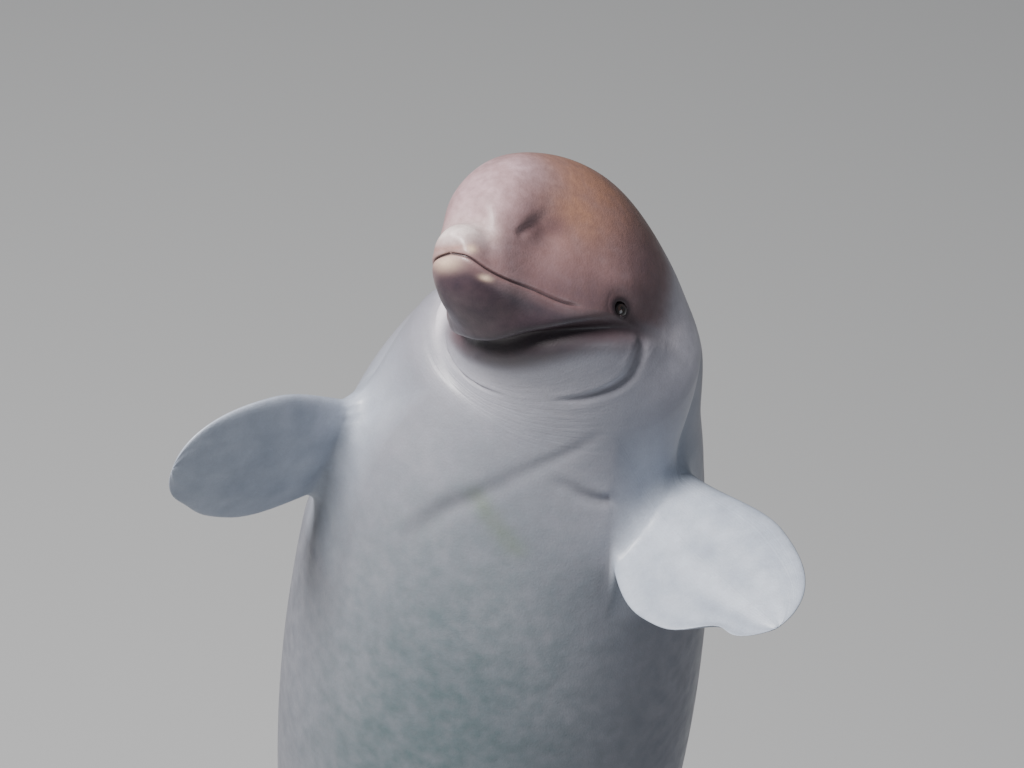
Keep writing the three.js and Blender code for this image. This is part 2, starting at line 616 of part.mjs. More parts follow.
// The stand: a flat base with rounded corners and two round rods, each on a round foot,
// up to the lower back
const BASE = {
  wide: 1500, deep: 1500, thick: 60, corner: 120, cornerSteps: 6, edge: 8, edgeSteps: 2,
};
const RODS = { radius: 38, apart: 250, middle: [-45, 175], top: 1500, sides: 20 };
const FOOT = { radius: 90, high: 25, edge: 6 };
function standBase() {
  const [w, d, r] = [BASE.wide / 2 - BASE.edge, BASE.deep / 2 - BASE.edge, BASE.corner];
  const outline = new THREE.Shape();
  outline.moveTo(-w + r, -d);
  outline.lineTo(w - r, -d).absarc(w - r, -d + r, r, -Math.PI / 2, 0);
  outline.lineTo(w, d - r).absarc(w - r, d - r, r, 0, Math.PI / 2);
  outline.lineTo(-w + r, d).absarc(-w + r, d - r, r, Math.PI / 2, Math.PI);
  outline.lineTo(-w, -d + r).absarc(-w + r, -d + r, r, Math.PI, 1.5 * Math.PI);
  const plate = new THREE.ExtrudeGeometry(outline, {
    depth: BASE.thick - 2 * BASE.edge, curveSegments: BASE.cornerSteps,
    bevelEnabled: true, bevelSize: BASE.edge, bevelThickness: BASE.edge, bevelSegments: BASE.edgeSteps,
  });
  return plainSolid(plate, new THREE.Matrix4().makeTranslation(0, 0, BASE.edge));
}
function turnedOnRodLine(side, profile) {
  const x = RODS.middle[0] + (side * RODS.apart) / 2;
  const upright = new THREE.Matrix4().makeTranslation(x, RODS.middle[1], 0)
    .multiply(new THREE.Matrix4().makeRotationX(Math.PI / 2));
  const points = profile.map(([r, z]) => new THREE.Vector2(r, z));
  return plainSolid(new THREE.LatheGeometry(points, RODS.sides), upright);
}
function standFoot(side) {
  const low = BASE.thick + GAP;
  const high = low + FOOT.high;
  const { radius, edge } = FOOT;
  const rounded = [[radius, high - edge], [radius - edge, high]];
  return turnedOnRodLine(side, [[0, low], [radius, low], ...rounded, [0, high]]);
}
function standRod(side, grownBody) {
  const low = BASE.thick + FOOT.high + 2 * GAP;
  const { radius, top } = RODS;
  const bar = turnedOnRodLine(side, [[0, low], [radius, low], [radius, top], [0, top]]);
  const rod = bar.subtract(grownBody);
  return rod.decompose().sort((a, b) => a.boundingBox().min[2] - b.boundingBox().min[2])[0];
}

const SKIN = { color: 0xb4b4ba, roughness: 0.45, metalness: 0 };
const HEAD_SKIN = { color: 0xa08078, roughness: 0.45, metalness: 0 };
const DARK_SKIN = { color: 0x5c5058, roughness: 0.5, metalness: 0 };
const EYE_FINISH = { color: 0x18120f, roughness: 0.1, metalness: 0 };
const BASE_FINISH = { color: 0x3c3c40, roughness: 0.6, metalness: 0 };
const ROD_FINISH = { color: 0xa8aaad, roughness: 0.35, metalness: 1 };

const whale = new THREE.Group();
function addNode(name, geometry, finish) {
  const mesh = new THREE.Mesh(geometry, new THREE.MeshStandardMaterial(finish));
  mesh.name = name;
  whale.add(mesh);
}

const [skull, melon] = piecesOf(upperHead().subtract(melonCut()));
const socketed = ['left', 'right'].reduce(
  (head, side) => head.add(lids(side)).subtract(eyeBall(side, EYE.ball + GAP)),
  skull.subtract(blowhole()),
);
addNode('head', geometryOf(socketed), HEAD_SKIN);
addNode('melon', geometryOf(melon), HEAD_SKIN);
addNode('lower_jaw', lowerJaw(), DARK_SKIN);
for (const side of ['left', 'right']) {
  addNode(`eye_${side}`, geometryOf(eyeBall(side, EYE.ball)), EYE_FINISH);
}
for (const [name, from, to] of PARTS) addNode(name, trunkLength(from, to), SKIN);

const tail = flukes();
for (const side of ['left', 'right']) addNode(`fluke_${side}`, geometryOf(tail[side]), SKIN);

const grown = grownTrunk();
for (const side of ['left', 'right']) {
  addNode(`flipper_${side}`, geometryOf(flipper(FLIPPERS[side]).subtract(grown)), SKIN);
}

addNode('stand_base', geometryOf(standBase()), BASE_FINISH);
for (const [side, sign] of [['left', 1], ['right', -1]]) {
  addNode(`stand_foot_${side}`, geometryOf(standFoot(sign)), ROD_FINISH);
  addNode(`stand_rod_${side}`, geometryOf(standRod(sign, grown)), ROD_FINISH);
}

export default whale;
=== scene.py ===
import math

import bpy
import numpy as np
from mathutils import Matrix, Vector


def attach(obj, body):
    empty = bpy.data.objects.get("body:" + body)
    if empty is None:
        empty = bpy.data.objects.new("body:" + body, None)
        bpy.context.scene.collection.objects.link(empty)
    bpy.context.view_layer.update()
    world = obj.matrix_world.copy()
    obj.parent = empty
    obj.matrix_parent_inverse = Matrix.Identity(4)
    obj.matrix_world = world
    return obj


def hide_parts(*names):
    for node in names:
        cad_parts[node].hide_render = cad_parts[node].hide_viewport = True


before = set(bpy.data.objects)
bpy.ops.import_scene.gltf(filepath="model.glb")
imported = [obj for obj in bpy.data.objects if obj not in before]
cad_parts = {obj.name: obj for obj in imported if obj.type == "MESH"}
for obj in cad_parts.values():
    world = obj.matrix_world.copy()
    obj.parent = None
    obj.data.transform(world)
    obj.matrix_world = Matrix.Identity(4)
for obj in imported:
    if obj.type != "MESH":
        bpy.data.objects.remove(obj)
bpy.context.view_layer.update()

# The camera stands high in front of the whale and looks down at it, as in the photo. Its place
# follows from where the tip of the mouth is, in the model and in the picture, and from how large
# the head looks.
MOUTH_TIP = np.array([-.042, -.149, 4.122])
LOOK_DOWN = math.radians(40)
CAMERA_DISTANCE = 8.0
PIXELS_PER_METRE = 480            # at the mouth's distance
PICTURE = np.array([1024, 768])
MOUTH_PIXEL = np.array([450, 253])
SENSOR = 36


def new_object(name, data):
    """An object at the origin that carries the given data and is part of the scene."""
    made = bpy.data.objects.new(name, data)
    bpy.context.scene.collection.objects.link(made)
    return made


camera_data = bpy.data.cameras.new("camera")
camera_data.sensor_width = SENSOR
camera_data.lens = SENSOR * PIXELS_PER_METRE * CAMERA_DISTANCE / PICTURE[0]
picture_up = np.array([0, math.sin(LOOK_DOWN), math.cos(LOOK_DOWN)])
toward_camera = np.array([0, -math.cos(LOOK_DOWN), math.sin(LOOK_DOWN)])
aside, above = (MOUTH_PIXEL - PICTURE / 2) * [1, -1] / PIXELS_PER_METRE
camera = new_object("camera", camera_data)
camera.location = (MOUTH_TIP - aside * np.array([1, 0, 0]) - above * picture_up
                   + CAMERA_DISTANCE * toward_camera)
camera.rotation_euler = (math.pi / 2 - LOOK_DOWN, 0, 0)
bpy.context.scene.camera = camera


# The studio: a plain pale floor, a broad soft lamp high on the left that leaves the underside of
# the jaw in shade, a weak one on the right, and pale light from all round.
def soft_lamp(name, place, aim, size, power, colour):
    """A square lamp of the given size at a place, turned to a point that it lights."""
    data = bpy.data.lights.new(name, "AREA")
    data.size, data.energy, data.color = size, power, colour
    lamp = new_object(name, data)
    lamp.location = place
    lamp.rotation_euler = (Vector(aim) - Vector(place)).to_track_quat("-Z", "Y").to_euler()


CHEST = (0, -.1, 3.4)
WORLD_COLOUR, WORLD_STRENGTH = (.78, .82, .88, 1), .17
soft_lamp("key_lamp", (-4.6, -1.8, 10.8), aim=CHEST, size=3.2, power=1900, colour=(1, .97, .94))
soft_lamp("fill_lamp", (6, -6, 5.5), aim=CHEST, size=5, power=110, colour=(.86, .92, 1))


def give(node, inputs):
    """Sets a shader node's inputs to values, or links them to other nodes' outputs."""
    for name, value in inputs.items():
        if isinstance(value, bpy.types.NodeSocket):
            node.id_data.links.new(value, node.inputs[name])
        else:
            node.inputs[name].default_value = value


def new_material(name):
    """A material, its node tree and its standard shader."""
    material = bpy.data.materials.new(name)
    material.use_nodes = True
    return material, material.node_tree, material.node_tree.nodes["Principled BSDF"]


world = bpy.data.worlds.new("studio_light")
world.use_nodes = True
give(world.node_tree.nodes["Background"], {"Color": WORLD_COLOUR, "Strength": WORLD_STRENGTH})
bpy.context.scene.world = world


FLOOR_SIZE = 60
FLOOR_COLOUR, FLOOR_ROUGHNESS = (.5, .51, .52, 1), .9
floor_mesh = bpy.data.meshes.new("floor")
half = FLOOR_SIZE / 2
floor_mesh.from_pydata([(-half, -half, 0), (half, -half, 0), (half, half, 0), (-half, half, 0)],
                       [], [(0, 1, 2, 3)])
floor = new_object("floor", floor_mesh)
floor_paint, _, floor_shader = new_material("pale_floor")
give(floor_shader, {"Base Color": FLOOR_COLOUR, "Roughness": FLOOR_ROUGHNESS})
floor_mesh.materials.append(floor_paint)

# The whale's skin: one closed sheet over head, body, flippers and flukes, as a moulder would cast
# it in one skin of resin. It is described lying straight (x runs back from the tip of the mouth,
# y to the whale's right, z to its back) and a bent spine brings it into the pose. All in metres.

# Rows of the head: station, side line x, z and half width, crown line x, z, keel line x, z, and
# the fullness of the section above and below the side line, which is the line of the mouth
HEAD_ROWS = np.array([
    [0, 0, 0, 0, 0, 0, 0, 0, 2, 2],
    [.5, .003, -.006, .031, -.006, .019, .003, -.016, 2, 2.2],
    [1, .011, -.011, .047, -.009, .041, .012, -.034, 2.1, 2.2],
    [1.5, .025, -.018, .058, .010, .065, .024, -.053, 2.15, 2.1],
    [2, .043, -.025, .067, .042, .083, .038, -.070, 2.15, 2.1],
    [3, .088, -.035, .089, .050, .150, .090, -.104, 2.2, 2],
    [4, .150, -.038, .112, .103, .2365, .160, -.132, 2.6, 2],
    [5, .225, -.050, .157, .195, .2945, .249, -.156, 2.4, 2],
    [6, .330, -.036, .209, .349, .325, .345, -.186, 2.4, 2],
    [7, .460, -.012, .264, .474, .290, .465, -.220, 2.2, 2],
])
# Rows of the trunk: x, centre height, half width, height of the back and depth of the belly
TRUNK_ROWS = np.array([
    [.620, 0, .325, .268, -.262],
    [.800, -.005, .405, .318, -.328],
    [1.050, -.010, .462, .368, -.392],
    [1.350, -.015, .488, .398, -.432],
    [1.700, -.015, .490, .408, -.448],
    [2.100, -.010, .458, .398, -.425],
    [2.550, 0, .378, .352, -.358],
    [3.000, .010, .262, .272, -.258],
    [3.400, .012, .152, .190, -.170],
    [3.700, .010, .088, .132, -.114],
    [3.900, .006, .060, .088, -.078],
])
STATION_STEP = .14                # length of trunk that one station stands for
MOUTH_CORNER = 5.2                # station of the corner of the mouth
LAST_HEAD = HEAD_ROWS[-1]


def station_of(x):
    """The station of a place on the trunk, by its distance from the mouth."""
    return LAST_HEAD[0] + (x - LAST_HEAD[1]) / STATION_STEP


trunk_x, trunk_centre, trunk_half, trunk_back, trunk_belly = TRUNK_ROWS.T
round_section = np.full_like(trunk_x, 2)
BODY_ROWS = np.vstack([HEAD_ROWS, np.stack([
    station_of(trunk_x), trunk_x, trunk_centre, trunk_half, trunk_x, trunk_back, trunk_x,
    trunk_belly, round_section, round_section], axis=1)])


def smooth_step(x, low, high):
    """0 below low, 1 above high, and a cubic that is level at both ends between them."""
    s = np.clip((x - low) / (high - low), 0, 1)
    return s * s * (3 - 2 * s)


def cubic(s, start, leave, end, arrive):
    """From a start to an end as s goes from 0 to 1, by the cubic with the given slopes there."""
    return ((2 * s ** 3 - 3 * s ** 2 + 1) * start + (s ** 3 - 2 * s ** 2 + s) * leave
            + (3 * s ** 2 - 2 * s ** 3) * end + (s ** 3 - s ** 2) * arrive)


def through_rows(rows, t):
    """A smooth curve through the rows: cubics whose slope at a row is that of the parabola
    through the row and its two neighbours. The first column is the parameter."""
    places, values = rows[:, 0], rows[:, 1:]
    slopes = np.gradient(values, places, axis=0)
    k = np.clip(np.searchsorted(places, t, side="left") - 1, 0, len(places) - 2)
    h = (places[k + 1] - places[k])[..., None]
    s = (t - places[k])[..., None] / h
    return cubic(s, values[k], h * slopes[k], values[k + 1], h * slopes[k + 1])


def plain_surface(t, angle):
    """The body at rest: at each station a superellipse arches from the side line up to the crown
    line and down to the keel line. Angle 0 is the right side, a quarter turn is the crown."""
    (side_x, side_z, half_width, crown_x, crown_z, keel_x, keel_z, full_above,
     full_below) = np.moveaxis(through_rows(BODY_ROWS, t), -1, 0)
    c, s = np.cos(angle), np.sin(angle)
    up = s >= 0
    power = 2 / np.where(up, full_above, full_below)
    rise = np.abs(s) ** power
    across = np.sign(c) * np.abs(c) ** power * half_width
    return np.stack([side_x + (np.where(up, crown_x, keel_x) - side_x) * rise, across,
                     side_z + (np.where(up, crown_z, keel_z) - side_z) * rise], axis=-1)


NOTHING = 1e-12                   # a length or a share up to this counts as none


def unit(v):
    """The vectors along the last axis, made one long."""
    return v / np.maximum(np.linalg.norm(v, axis=-1, keepdims=True), NOTHING)


NORMAL_STEP = .02                 # stations and radians between the points that give a normal
TIP_END = .01                     # stations before this one have its normal


def plain_normal(t, angle):
    """Outward normal of the body at rest: across the steps along it and round it."""
    near = np.maximum(TIP_END, t)
    along = (plain_surface(near + NORMAL_STEP, angle)
             - plain_surface(np.maximum(TIP_END, near - NORMAL_STEP), angle))
    round_it = plain_surface(near, angle + NORMAL_STEP) - plain_surface(near, angle - NORMAL_STEP)
    return -unit(np.cross(along, round_it))


# Soft swellings and hollows: centre x, distance from the middle, z, three radii and height. They
# lie on both sides, apart from those whose distance is negative, which lie on the left alone.
FORMS = {
    "melon_side": (.100, .078, .140, .075, .050, .075, .013),
    "melon_hollow": (.158, .128, .086, .050, .030, .038, -.012),
    "cheek": (.225, .160, .010, .085, .050, .050, .008),
    "brow": (.325, .200, .035, .060, .040, .030, .007),
    "ridge_before_eye": (.300, .195, -.010, .022, .050, .040, .002),
    "beak_side": (.050, .062, .038, .044, .038, .038, .0055),
    "left_shoulder": (.620, -.300, .050, .220, .170, .220, .045),
    "eye_hollow": (.336, .205, -.012, .034, .050, .028, -.006),
    "blowhole_mound": (.425, .000, .290, .060, .060, .060, .009),
}
# Short furrows: two ends, with their distance from the middle, and the half width and depth. The
# lip of skin between two furrows has a depth below 0. A furrow sets in and dies away over shares
# of its length.
FURROWS = {
    "melon_furrow": ((.098, .100, .070), (.160, .124, .136), .009, .009),
    "fold_lip": ((.088, .096, .086), (.132, .116, .146), .006, -.003),
    "melon_crease": ((.074, .092, .104), (.104, .108, .152), .005, .003),
}
FURROW_SETS_IN, FURROW_DIES_AWAY = (-.25, .15), (.2, 1.25)
# Folds that run round the body: the angle from the keel, positive on the whale's right, then x
# and depth, and for each fold the half width of its groove
FOLDS = {
    "under_jaw": ([(-2.3, .485, 0), (-1.9, .445, .006), (-1.66, .400, .012), (-1.45, .335, .022),
                   (-1.2, .281, .029), (-.8, .234, .032), (0, .212, .032), (.8, .234, .032),
                   (1.2, .281, .029), (1.45, .335, .022), (1.66, .400, .012), (1.9, .445, .006),
                   (2.3, .485, 0)], .026),
    "throat": ([(-1.55, .380, 0), (-1.35, .386, .008), (-1, .408, .010), (-.5, .408, .007),
                (-.2, .402, 0), (.2, .402, 0), (.5, .412, .005), (1, .420, .007),
                (1.4, .400, 0)], .0085),
    "chest": ([(-.66, .500, 0), (-.47, .543, .003), (-.25, .613, .004), (0, .720, .005),
               (.10, .766, .007), (.20, .808, .008), (.30, .866, .006), (.42, .940, 0)], .012),
    "armpit": ([(-1.16, .600, 0), (-1.03, .624, .006), (-.88, .660, .009), (-.72, .683, .010),
                (-.58, .674, .008), (-.46, .656, .005), (-.30, .645, 0)], .015),
    "neck": ([(1.2, .470, 0), (1.6, .500, .005), (2, .505, .005), (2.4, .500, 0)], .010),
}
FOLD_ROLL = .12                   # the roll of skin behind a fold, as a share of its depth
FOLD_ROLL_AT = 1.9                # how far behind, in half widths of the fold
FOLD_STEP = .02                   # radians between the points that give a fold's slope
FOLD_RADIUS = .2                  # half width of the body near the folds
# a groove is painted darker the deeper it is, as painted shade
FULL_SHADE_DEPTH = .030                 # a groove this deep is fully dark
LIP = {"rise": .0022, "from_line": .009, "width": .007, "groove": .0055, "groove_width": .0022,
       "sets_in": (.2, 1), "fades": (-.3, .12)}
BLOWHOLE = {"x": .438, "radius": .036, "spread": 1.08, "half_width": .006, "depth": .005,
            "above": .2, "fades": (.8, 1.2)}
DORSAL_RIDGE = {"start": 1.8, "end": 3.05, "height": .014, "width": .16, "bumps": 9, "dip": .2}


def mouth_share(t):
    """1 along the line of the mouth, fading to 0 behind its corner."""
    return 1 - smooth_step(t, *(MOUTH_CORNER + np.array(LIP["fades"])))


def from_mouth_line(t, p):
    """Height above or below the line of the mouth at the same station."""
    return p[..., 2] - through_rows(BODY_ROWS, t)[..., 1]


def bell(distance, width):
    """1 at the middle, falling to nothing on each side as the exponential of a square."""
    return np.exp(-(distance / width) ** 2)


def fold_at(angle, x, places, width):
    """The depth of a fold's groove and roll, and how much shade is painted into it. The distance
    from the fold's line is taken along x and shortened where the line runs aslant."""
    rows = np.array(places)
    from_keel = np.angle(np.exp(1j * (angle + np.pi / 2)))
    near = np.clip(from_keel, rows[0, 0], rows[-1, 0])
    line, depth = np.moveaxis(through_rows(rows, near), -1, 0)
    aslant = (through_rows(rows, near + FOLD_STEP)[..., 0] - line) / FOLD_STEP / FOLD_RADIUS
    off = (x - line) / np.hypot(1, aslant)
    depth = np.maximum(0, depth)
    groove = bell(off, width)
    roll = FOLD_ROLL * bell(off + FOLD_ROLL_AT * width, width)
    return depth * (groove - roll), groove * depth


def furrow_at(p, start, end, width, depth):
    """A furrow along the straight stretch between its two ends, on both sides of the head. It is
    deepest near its start and runs out to nothing."""
    start, line = np.array(start), np.array(end) - np.array(start)
    q = p * [1, 0, 1] + abs(p) * [0, 1, 0]
    share = (q - start) @ line / (line @ line)
    nearest = start + np.clip(share, 0, 1)[..., None] * line
    runs_out = smooth_step(share, *FURROW_SETS_IN) * (1 - smooth_step(share, *FURROW_DIES_AWAY))
    return depth * runs_out * bell(np.linalg.norm(q - nearest, axis=-1), width)


def blowhole_at(p):
    """The crescent of the blowhole: an arc about a centre before it, open towards the mouth."""
    x, y = p[..., 0] - BLOWHOLE["x"] + BLOWHOLE["radius"], p[..., 1]
    along = abs(np.arctan2(y, x)) / BLOWHOLE["spread"]
    arc = bell(np.hypot(x, y) - BLOWHOLE["radius"], BLOWHOLE["half_width"])
    return (p[..., 2] > BLOWHOLE["above"]) * arc * (1 - smooth_step(along, *BLOWHOLE["fades"]))


def grooves(t, angle, p):
    """Depth in metres of all grooves together, and the shade painted into them from 0 to 1."""
    mouth = mouth_share(t) * bell(abs(from_mouth_line(t, p)), LIP["groove_width"])
    depth, painted_shade = LIP["groove"] * mouth, mouth.copy()
    for places, width in FOLDS.values():
        groove, deep = fold_at(angle, p[..., 0], places, width)
        depth += groove
        painted_shade += deep / FULL_SHADE_DEPTH
    for start, end, width, deep in FURROWS.values():
        furrow = furrow_at(p, start, end, width, deep)
        depth += furrow
        painted_shade += furrow / FULL_SHADE_DEPTH
    blow = blowhole_at(p)
    return depth + BLOWHOLE["depth"] * blow, np.clip(painted_shade + blow, 0, 1)


def relief(t, angle, p):
    """How far the skin stands out: soft forms as bell shapes, two lips, the low ridge of the back
    as a row of waves, and the grooves taken away."""
    rise = -grooves(t, angle, p)[0]
    for x, y, z, rx, ry, rz, height in FORMS.values():
        across = p[..., 1] if y < 0 else abs(p[..., 1])
        far = ((p[..., 0] - x) / rx) ** 2 + ((across - y) / ry) ** 2 + ((p[..., 2] - z) / rz) ** 2
        rise += height * np.exp(-far)
    off = abs(from_mouth_line(t, p))
    rise += (LIP["rise"] * mouth_share(t) * smooth_step(t, *LIP["sets_in"])
             * bell(off - LIP["from_line"], LIP["width"]))
    share = np.clip((p[..., 0] - DORSAL_RIDGE["start"])
                    / (DORSAL_RIDGE["end"] - DORSAL_RIDGE["start"]), 0, 1)
    dip = DORSAL_RIDGE["dip"]
    wave = 1 - dip + dip * np.cos(share * DORSAL_RIDGE["bumps"] * 2 * np.pi)
    from_crown = np.angle(np.exp(1j * (angle - np.pi / 2)))
    rise += (DORSAL_RIDGE["height"] * np.sqrt(np.sin(np.pi * share)) * wave
             * bell(from_crown, DORSAL_RIDGE["width"]))
    return rise


# The pose: turns in degrees and the stretches of the spine that bend
HEAD_TURN, HEAD_RISE, HEAD_ROLL = np.radians([55.3, 46, 36.9])
TRUNK_TURN = math.radians(18)
SHOULDER_LEAN = np.radians([20, -10])
TRUNK_LEAN = np.radians([6, 2])
TAIL_CURL = math.radians(34)
NECK_BEND, SHOULDER_BEND, TAIL_BEND = (.240, .660), (.500, 1.000), (1.700, 3.700)
BEND_EASE = .3
SPINE_STEP, SPINE_FROM, SPINE_TO = .005, -.1, 4.6
BEFORE_END = .001                 # how far before the spine's last step its last place is, in steps


def turn_of(forward, up):
    """A turn whose columns point back, to the right and up the back."""
    f = unit(np.array(forward))
    u = unit(up - f * np.dot(up, f))
    return np.stack([-f, np.cross(f, u), u], axis=1)


def head_turn():
    """The head faces down the photo's left, risen, with its crown rolled to its right."""
    level = math.cos(HEAD_RISE)
    f = np.array([-math.sin(HEAD_TURN) * level, -math.cos(HEAD_TURN) * level, math.sin(HEAD_RISE)])
    up = unit(np.array([0, 0, 1]) - f * f[2])
    return turn_of(f, math.cos(HEAD_ROLL) * up + math.sin(HEAD_ROLL) * np.cross(f, up))


def body_turn(side, back):
    """The body stands upright, leaning sideways and back, its belly turned to its right."""
    return turn_of([math.sin(side), math.sin(back), math.cos(side)],
                   np.array([math.sin(TRUNK_TURN), math.cos(TRUNK_TURN), 0]))


def part_turn(whole, share):
    """The given shares of a turn, about its own axis, by Rodrigues' formula."""
    angle = math.acos(np.clip((np.trace(whole) - 1) / 2, -1, 1))
    axis = unit(np.array([whole[2, 1] - whole[1, 2], whole[0, 2] - whole[2, 0],
                          whole[1, 0] - whole[0, 1]]))
    k = np.array([[0, -axis[2], axis[1]], [axis[2], 0, -axis[0]], [-axis[1], axis[0], 0]])
    a = (share * angle)[:, None, None]
    return np.eye(3) + np.sin(a) * k + (1 - np.cos(a)) * (k @ k)


def ramp(x, stretch):
    """From 0 to 1 along a stretch, at a rate that sets in, stays level and dies away."""
    s = np.clip((x - stretch[0]) / (stretch[1] - stretch[0]), 0, 1)
    e = BEND_EASE
    k = 1 / (2 * e * (1 - e))
    return np.where(s < e, k * s * s,
                    np.where(s > 1 - e, 1 - k * (1 - s) ** 2, k * e * e + (s - e) / (1 - e)))


shoulders = body_turn(*SHOULDER_LEAN)
trunk = body_turn(*TRUNK_LEAN)
quarter_curl = np.array([[0, 0, 1], [0, 1, 0], [-1, 0, 0]])


def turns_at(x):
    """The turn of the spine at each place: trunk, then shoulders, neck and the curl of the tail."""
    return (trunk @ part_turn(trunk.T @ shoulders, 1 - ramp(x, SHOULDER_BEND))
            @ part_turn(shoulders.T @ head_turn(), 1 - ramp(x, NECK_BEND))
            @ part_turn(quarter_curl, smooth_step(x, *TAIL_BEND) * TAIL_CURL / (np.pi / 2)))


spine_x = np.arange(SPINE_FROM, SPINE_TO, SPINE_STEP)
spine_turn = turns_at(spine_x)
steps = turns_at(spine_x[:-1] + SPINE_STEP / 2)[:, :, 0] * SPINE_STEP
spine_at = np.vstack([np.zeros(3), np.cumsum(steps, axis=0)])
spine_at += MOUTH_TIP - spine_at[round(-SPINE_FROM / SPINE_STEP)]


def along_spine(x):
    """Place and turn of the spine at each distance from the mouth, between its steps."""
    place = np.clip((x - SPINE_FROM) / SPINE_STEP, 0, len(spine_x) - 1 - BEFORE_END)
    k = place.astype(int)
    share = (place - k)[..., None]
    at = spine_at[k] * (1 - share) + spine_at[k + 1] * share
    turn = spine_turn[k] * (1 - share[..., None]) + spine_turn[k + 1] * share[..., None]
    return at, turn


def posed(p):
    """A point at rest is carried by the spine's slice at its distance from the mouth."""
    at, turn = along_spine(p[..., 0])
    off = np.stack([np.zeros_like(p[..., 0]), p[..., 1], p[..., 2]], axis=-1)
    return at + np.einsum("...ij,...j->...i", turn, off)


def rest_point(t, angle, lift=0):
    """The skin at rest: the plain surface moved along its normal by its relief and a lift."""
    p = plain_surface(t, angle)
    move = relief(t, angle, p) + lift
    return p + plain_normal(t, angle) * np.asarray(move)[..., None]


# The sheet's grid: rows by station and columns by angle, close together along the mouth and on
# the head, wider on the smooth trunk
SIDE_STEP, STEP_GROWTH, WIDEST_STEP = .0030, 1.26, .0345      # radians, away from the side line
TIP_ROWS = [.06, .13, .21, .3, .4, .52, .66, .82]             # stations round the tip of the mouth
BEAK_ROWS, CHEEK_ROWS = (1, 5, .092), (5, 7, .055)            # stations: first, end and step
SHOULDER_ROWS, TAIL_ROWS = (LAST_HEAD[1], 1.5, .0085), (1.5, 3.88, .026)      # the same in metres
EVEN_STATIONS = (5.2, 8)          # stretch on which the columns spread out evenly


def quarter_angles(first, growth, widest):
    """Angles of a quarter turn, whose steps grow from the first to the widest."""
    steps = [first]
    while sum(steps) < np.pi / 2:
        steps.append(min(steps[-1] * growth, widest))
    angles = np.concatenate([[0], np.cumsum(steps)])
    return angles * (np.pi / 2) / angles[-1]


mouth_quarter = quarter_angles(SIDE_STEP, STEP_GROWTH, WIDEST_STEP)
even_quarter = np.linspace(0, np.pi / 2, len(mouth_quarter))


def all_round(quarter):
    """The same steps in each quarter, mirrored at the crown and at the sides."""
    half_turn = np.concatenate([quarter, np.pi - quarter[-2::-1]])
    return np.concatenate([half_turn[:-1], half_turn[:-1] + np.pi])


trunk_rows = np.concatenate([np.arange(*SHOULDER_ROWS), np.arange(*TAIL_ROWS)])
stations = np.concatenate([TIP_ROWS, np.arange(*BEAK_ROWS), np.arange(*CHEEK_ROWS),
                           station_of(trunk_rows)])
evenness = smooth_step(stations, *EVEN_STATIONS)[:, None]
angles = (1 - evenness) * all_round(mouth_quarter) + evenness * all_round(even_quarter)
grid_t = np.broadcast_to(stations[:, None], angles.shape)
columns = angles.shape[1]
body_rest = rest_point(grid_t, angles)

# The flukes: each ring of the sheet fans out, so that its ends run along the leading edge to the
# tip and back along the trailing edge to the notch. Rows: parameter, x, distance from the middle.
FLUKE_TIP, NOTCH = (4.360, .5195), 4.300
LEADING_EDGE = np.array([[0, 3.900, .060], [.2, 3.965, .092], [.4, 4.055, .200], [.6, 4.165, .345],
                         [.8, 4.285, .475], [1, *FLUKE_TIP]])
TRAILING_EDGE = np.array([[1, *FLUKE_TIP], [1.17, 4.405, .508], [1.33, 4.429, .400],
                          [1.5, 4.425, .270], [1.67, 4.385, .130], [1.83, 4.335, .045],
                          [2, NOTCH, 0]])
# The core by which the tail stock runs out into the blades: x, half width and half height
STOCK_CORE = np.array([[3.700, .088, .123], [3.900, .060, .083], [4.050, .045, .050],
                       [4.200, .030, .022], [NOTCH, .020, .003]])
FLUKE = {"thick": .062, "thinning": .75, "centre": .005, "fan": 1.3, "gather": .8, "rear": .8,
         "least_chord": .001}
FLUKE_RINGS = [(.03, 1, 30), (1.03, 1.96, 26)]        # parameters: first, last and how many
EDGE_POINTS = 200                 # by which the blade's edges are read


def fluke_surface(u, angle):
    """A ring's points spread from the middle line to the edge by the cosine of their angle. Their
    height is a blade section, full in front and thin behind, joined to the core by cubes."""
    end = np.where((u <= 1)[..., None], through_rows(LEADING_EDGE, np.minimum(u, 1)),
                   through_rows(TRAILING_EDGE, np.maximum(u, 1)))
    c, s = np.cos(angle), np.sin(angle)
    start = LEADING_EDGE[0, 1]
    middle = start + (NOTCH - start) * (u / 2) ** FLUKE["gather"]
    x = middle + (end[..., 0] - middle) * abs(c) ** FLUKE["fan"]
    y = end[..., 1] * c
    out = abs(y)
    fine = np.linspace(0, 1, EDGE_POINTS)
    front_edge, rear_edge = through_rows(LEADING_EDGE, fine), through_rows(TRAILING_EDGE, 2 - fine)
    front = np.interp(out, front_edge[:, 1], front_edge[:, 0])
    rear = np.interp(out, rear_edge[:, 1], rear_edge[:, 0])
    chord = np.clip((x - front) / np.maximum(FLUKE["least_chord"], rear - front), 0, 1)
    thick = FLUKE["thick"] * (1 - FLUKE["thinning"] * out / FLUKE_TIP[1])
    blade = thick * np.sqrt(chord) * (1 - chord) ** FLUKE["rear"]
    wide, high = np.moveaxis(through_rows(STOCK_CORE, np.clip(x, STOCK_CORE[0, 0], NOTCH)), -1, 0)
    core = high * np.sqrt(np.clip(1 - (y / wide) ** 2, 0, 1))
    height = np.cbrt(blade ** 3 + core ** 3) * np.sign(s) * (abs(s) > NOTHING)
    return np.stack([x, y, height + FLUKE["centre"]], axis=-1)


fluke_u = np.concatenate([np.linspace(*rings) for rings in FLUKE_RINGS])
fluke_rest = fluke_surface(*np.broadcast_arrays(fluke_u[:, None], all_round(even_quarter)))
sheet_rest = np.concatenate([body_rest, fluke_rest])
rows = len(sheet_rest)
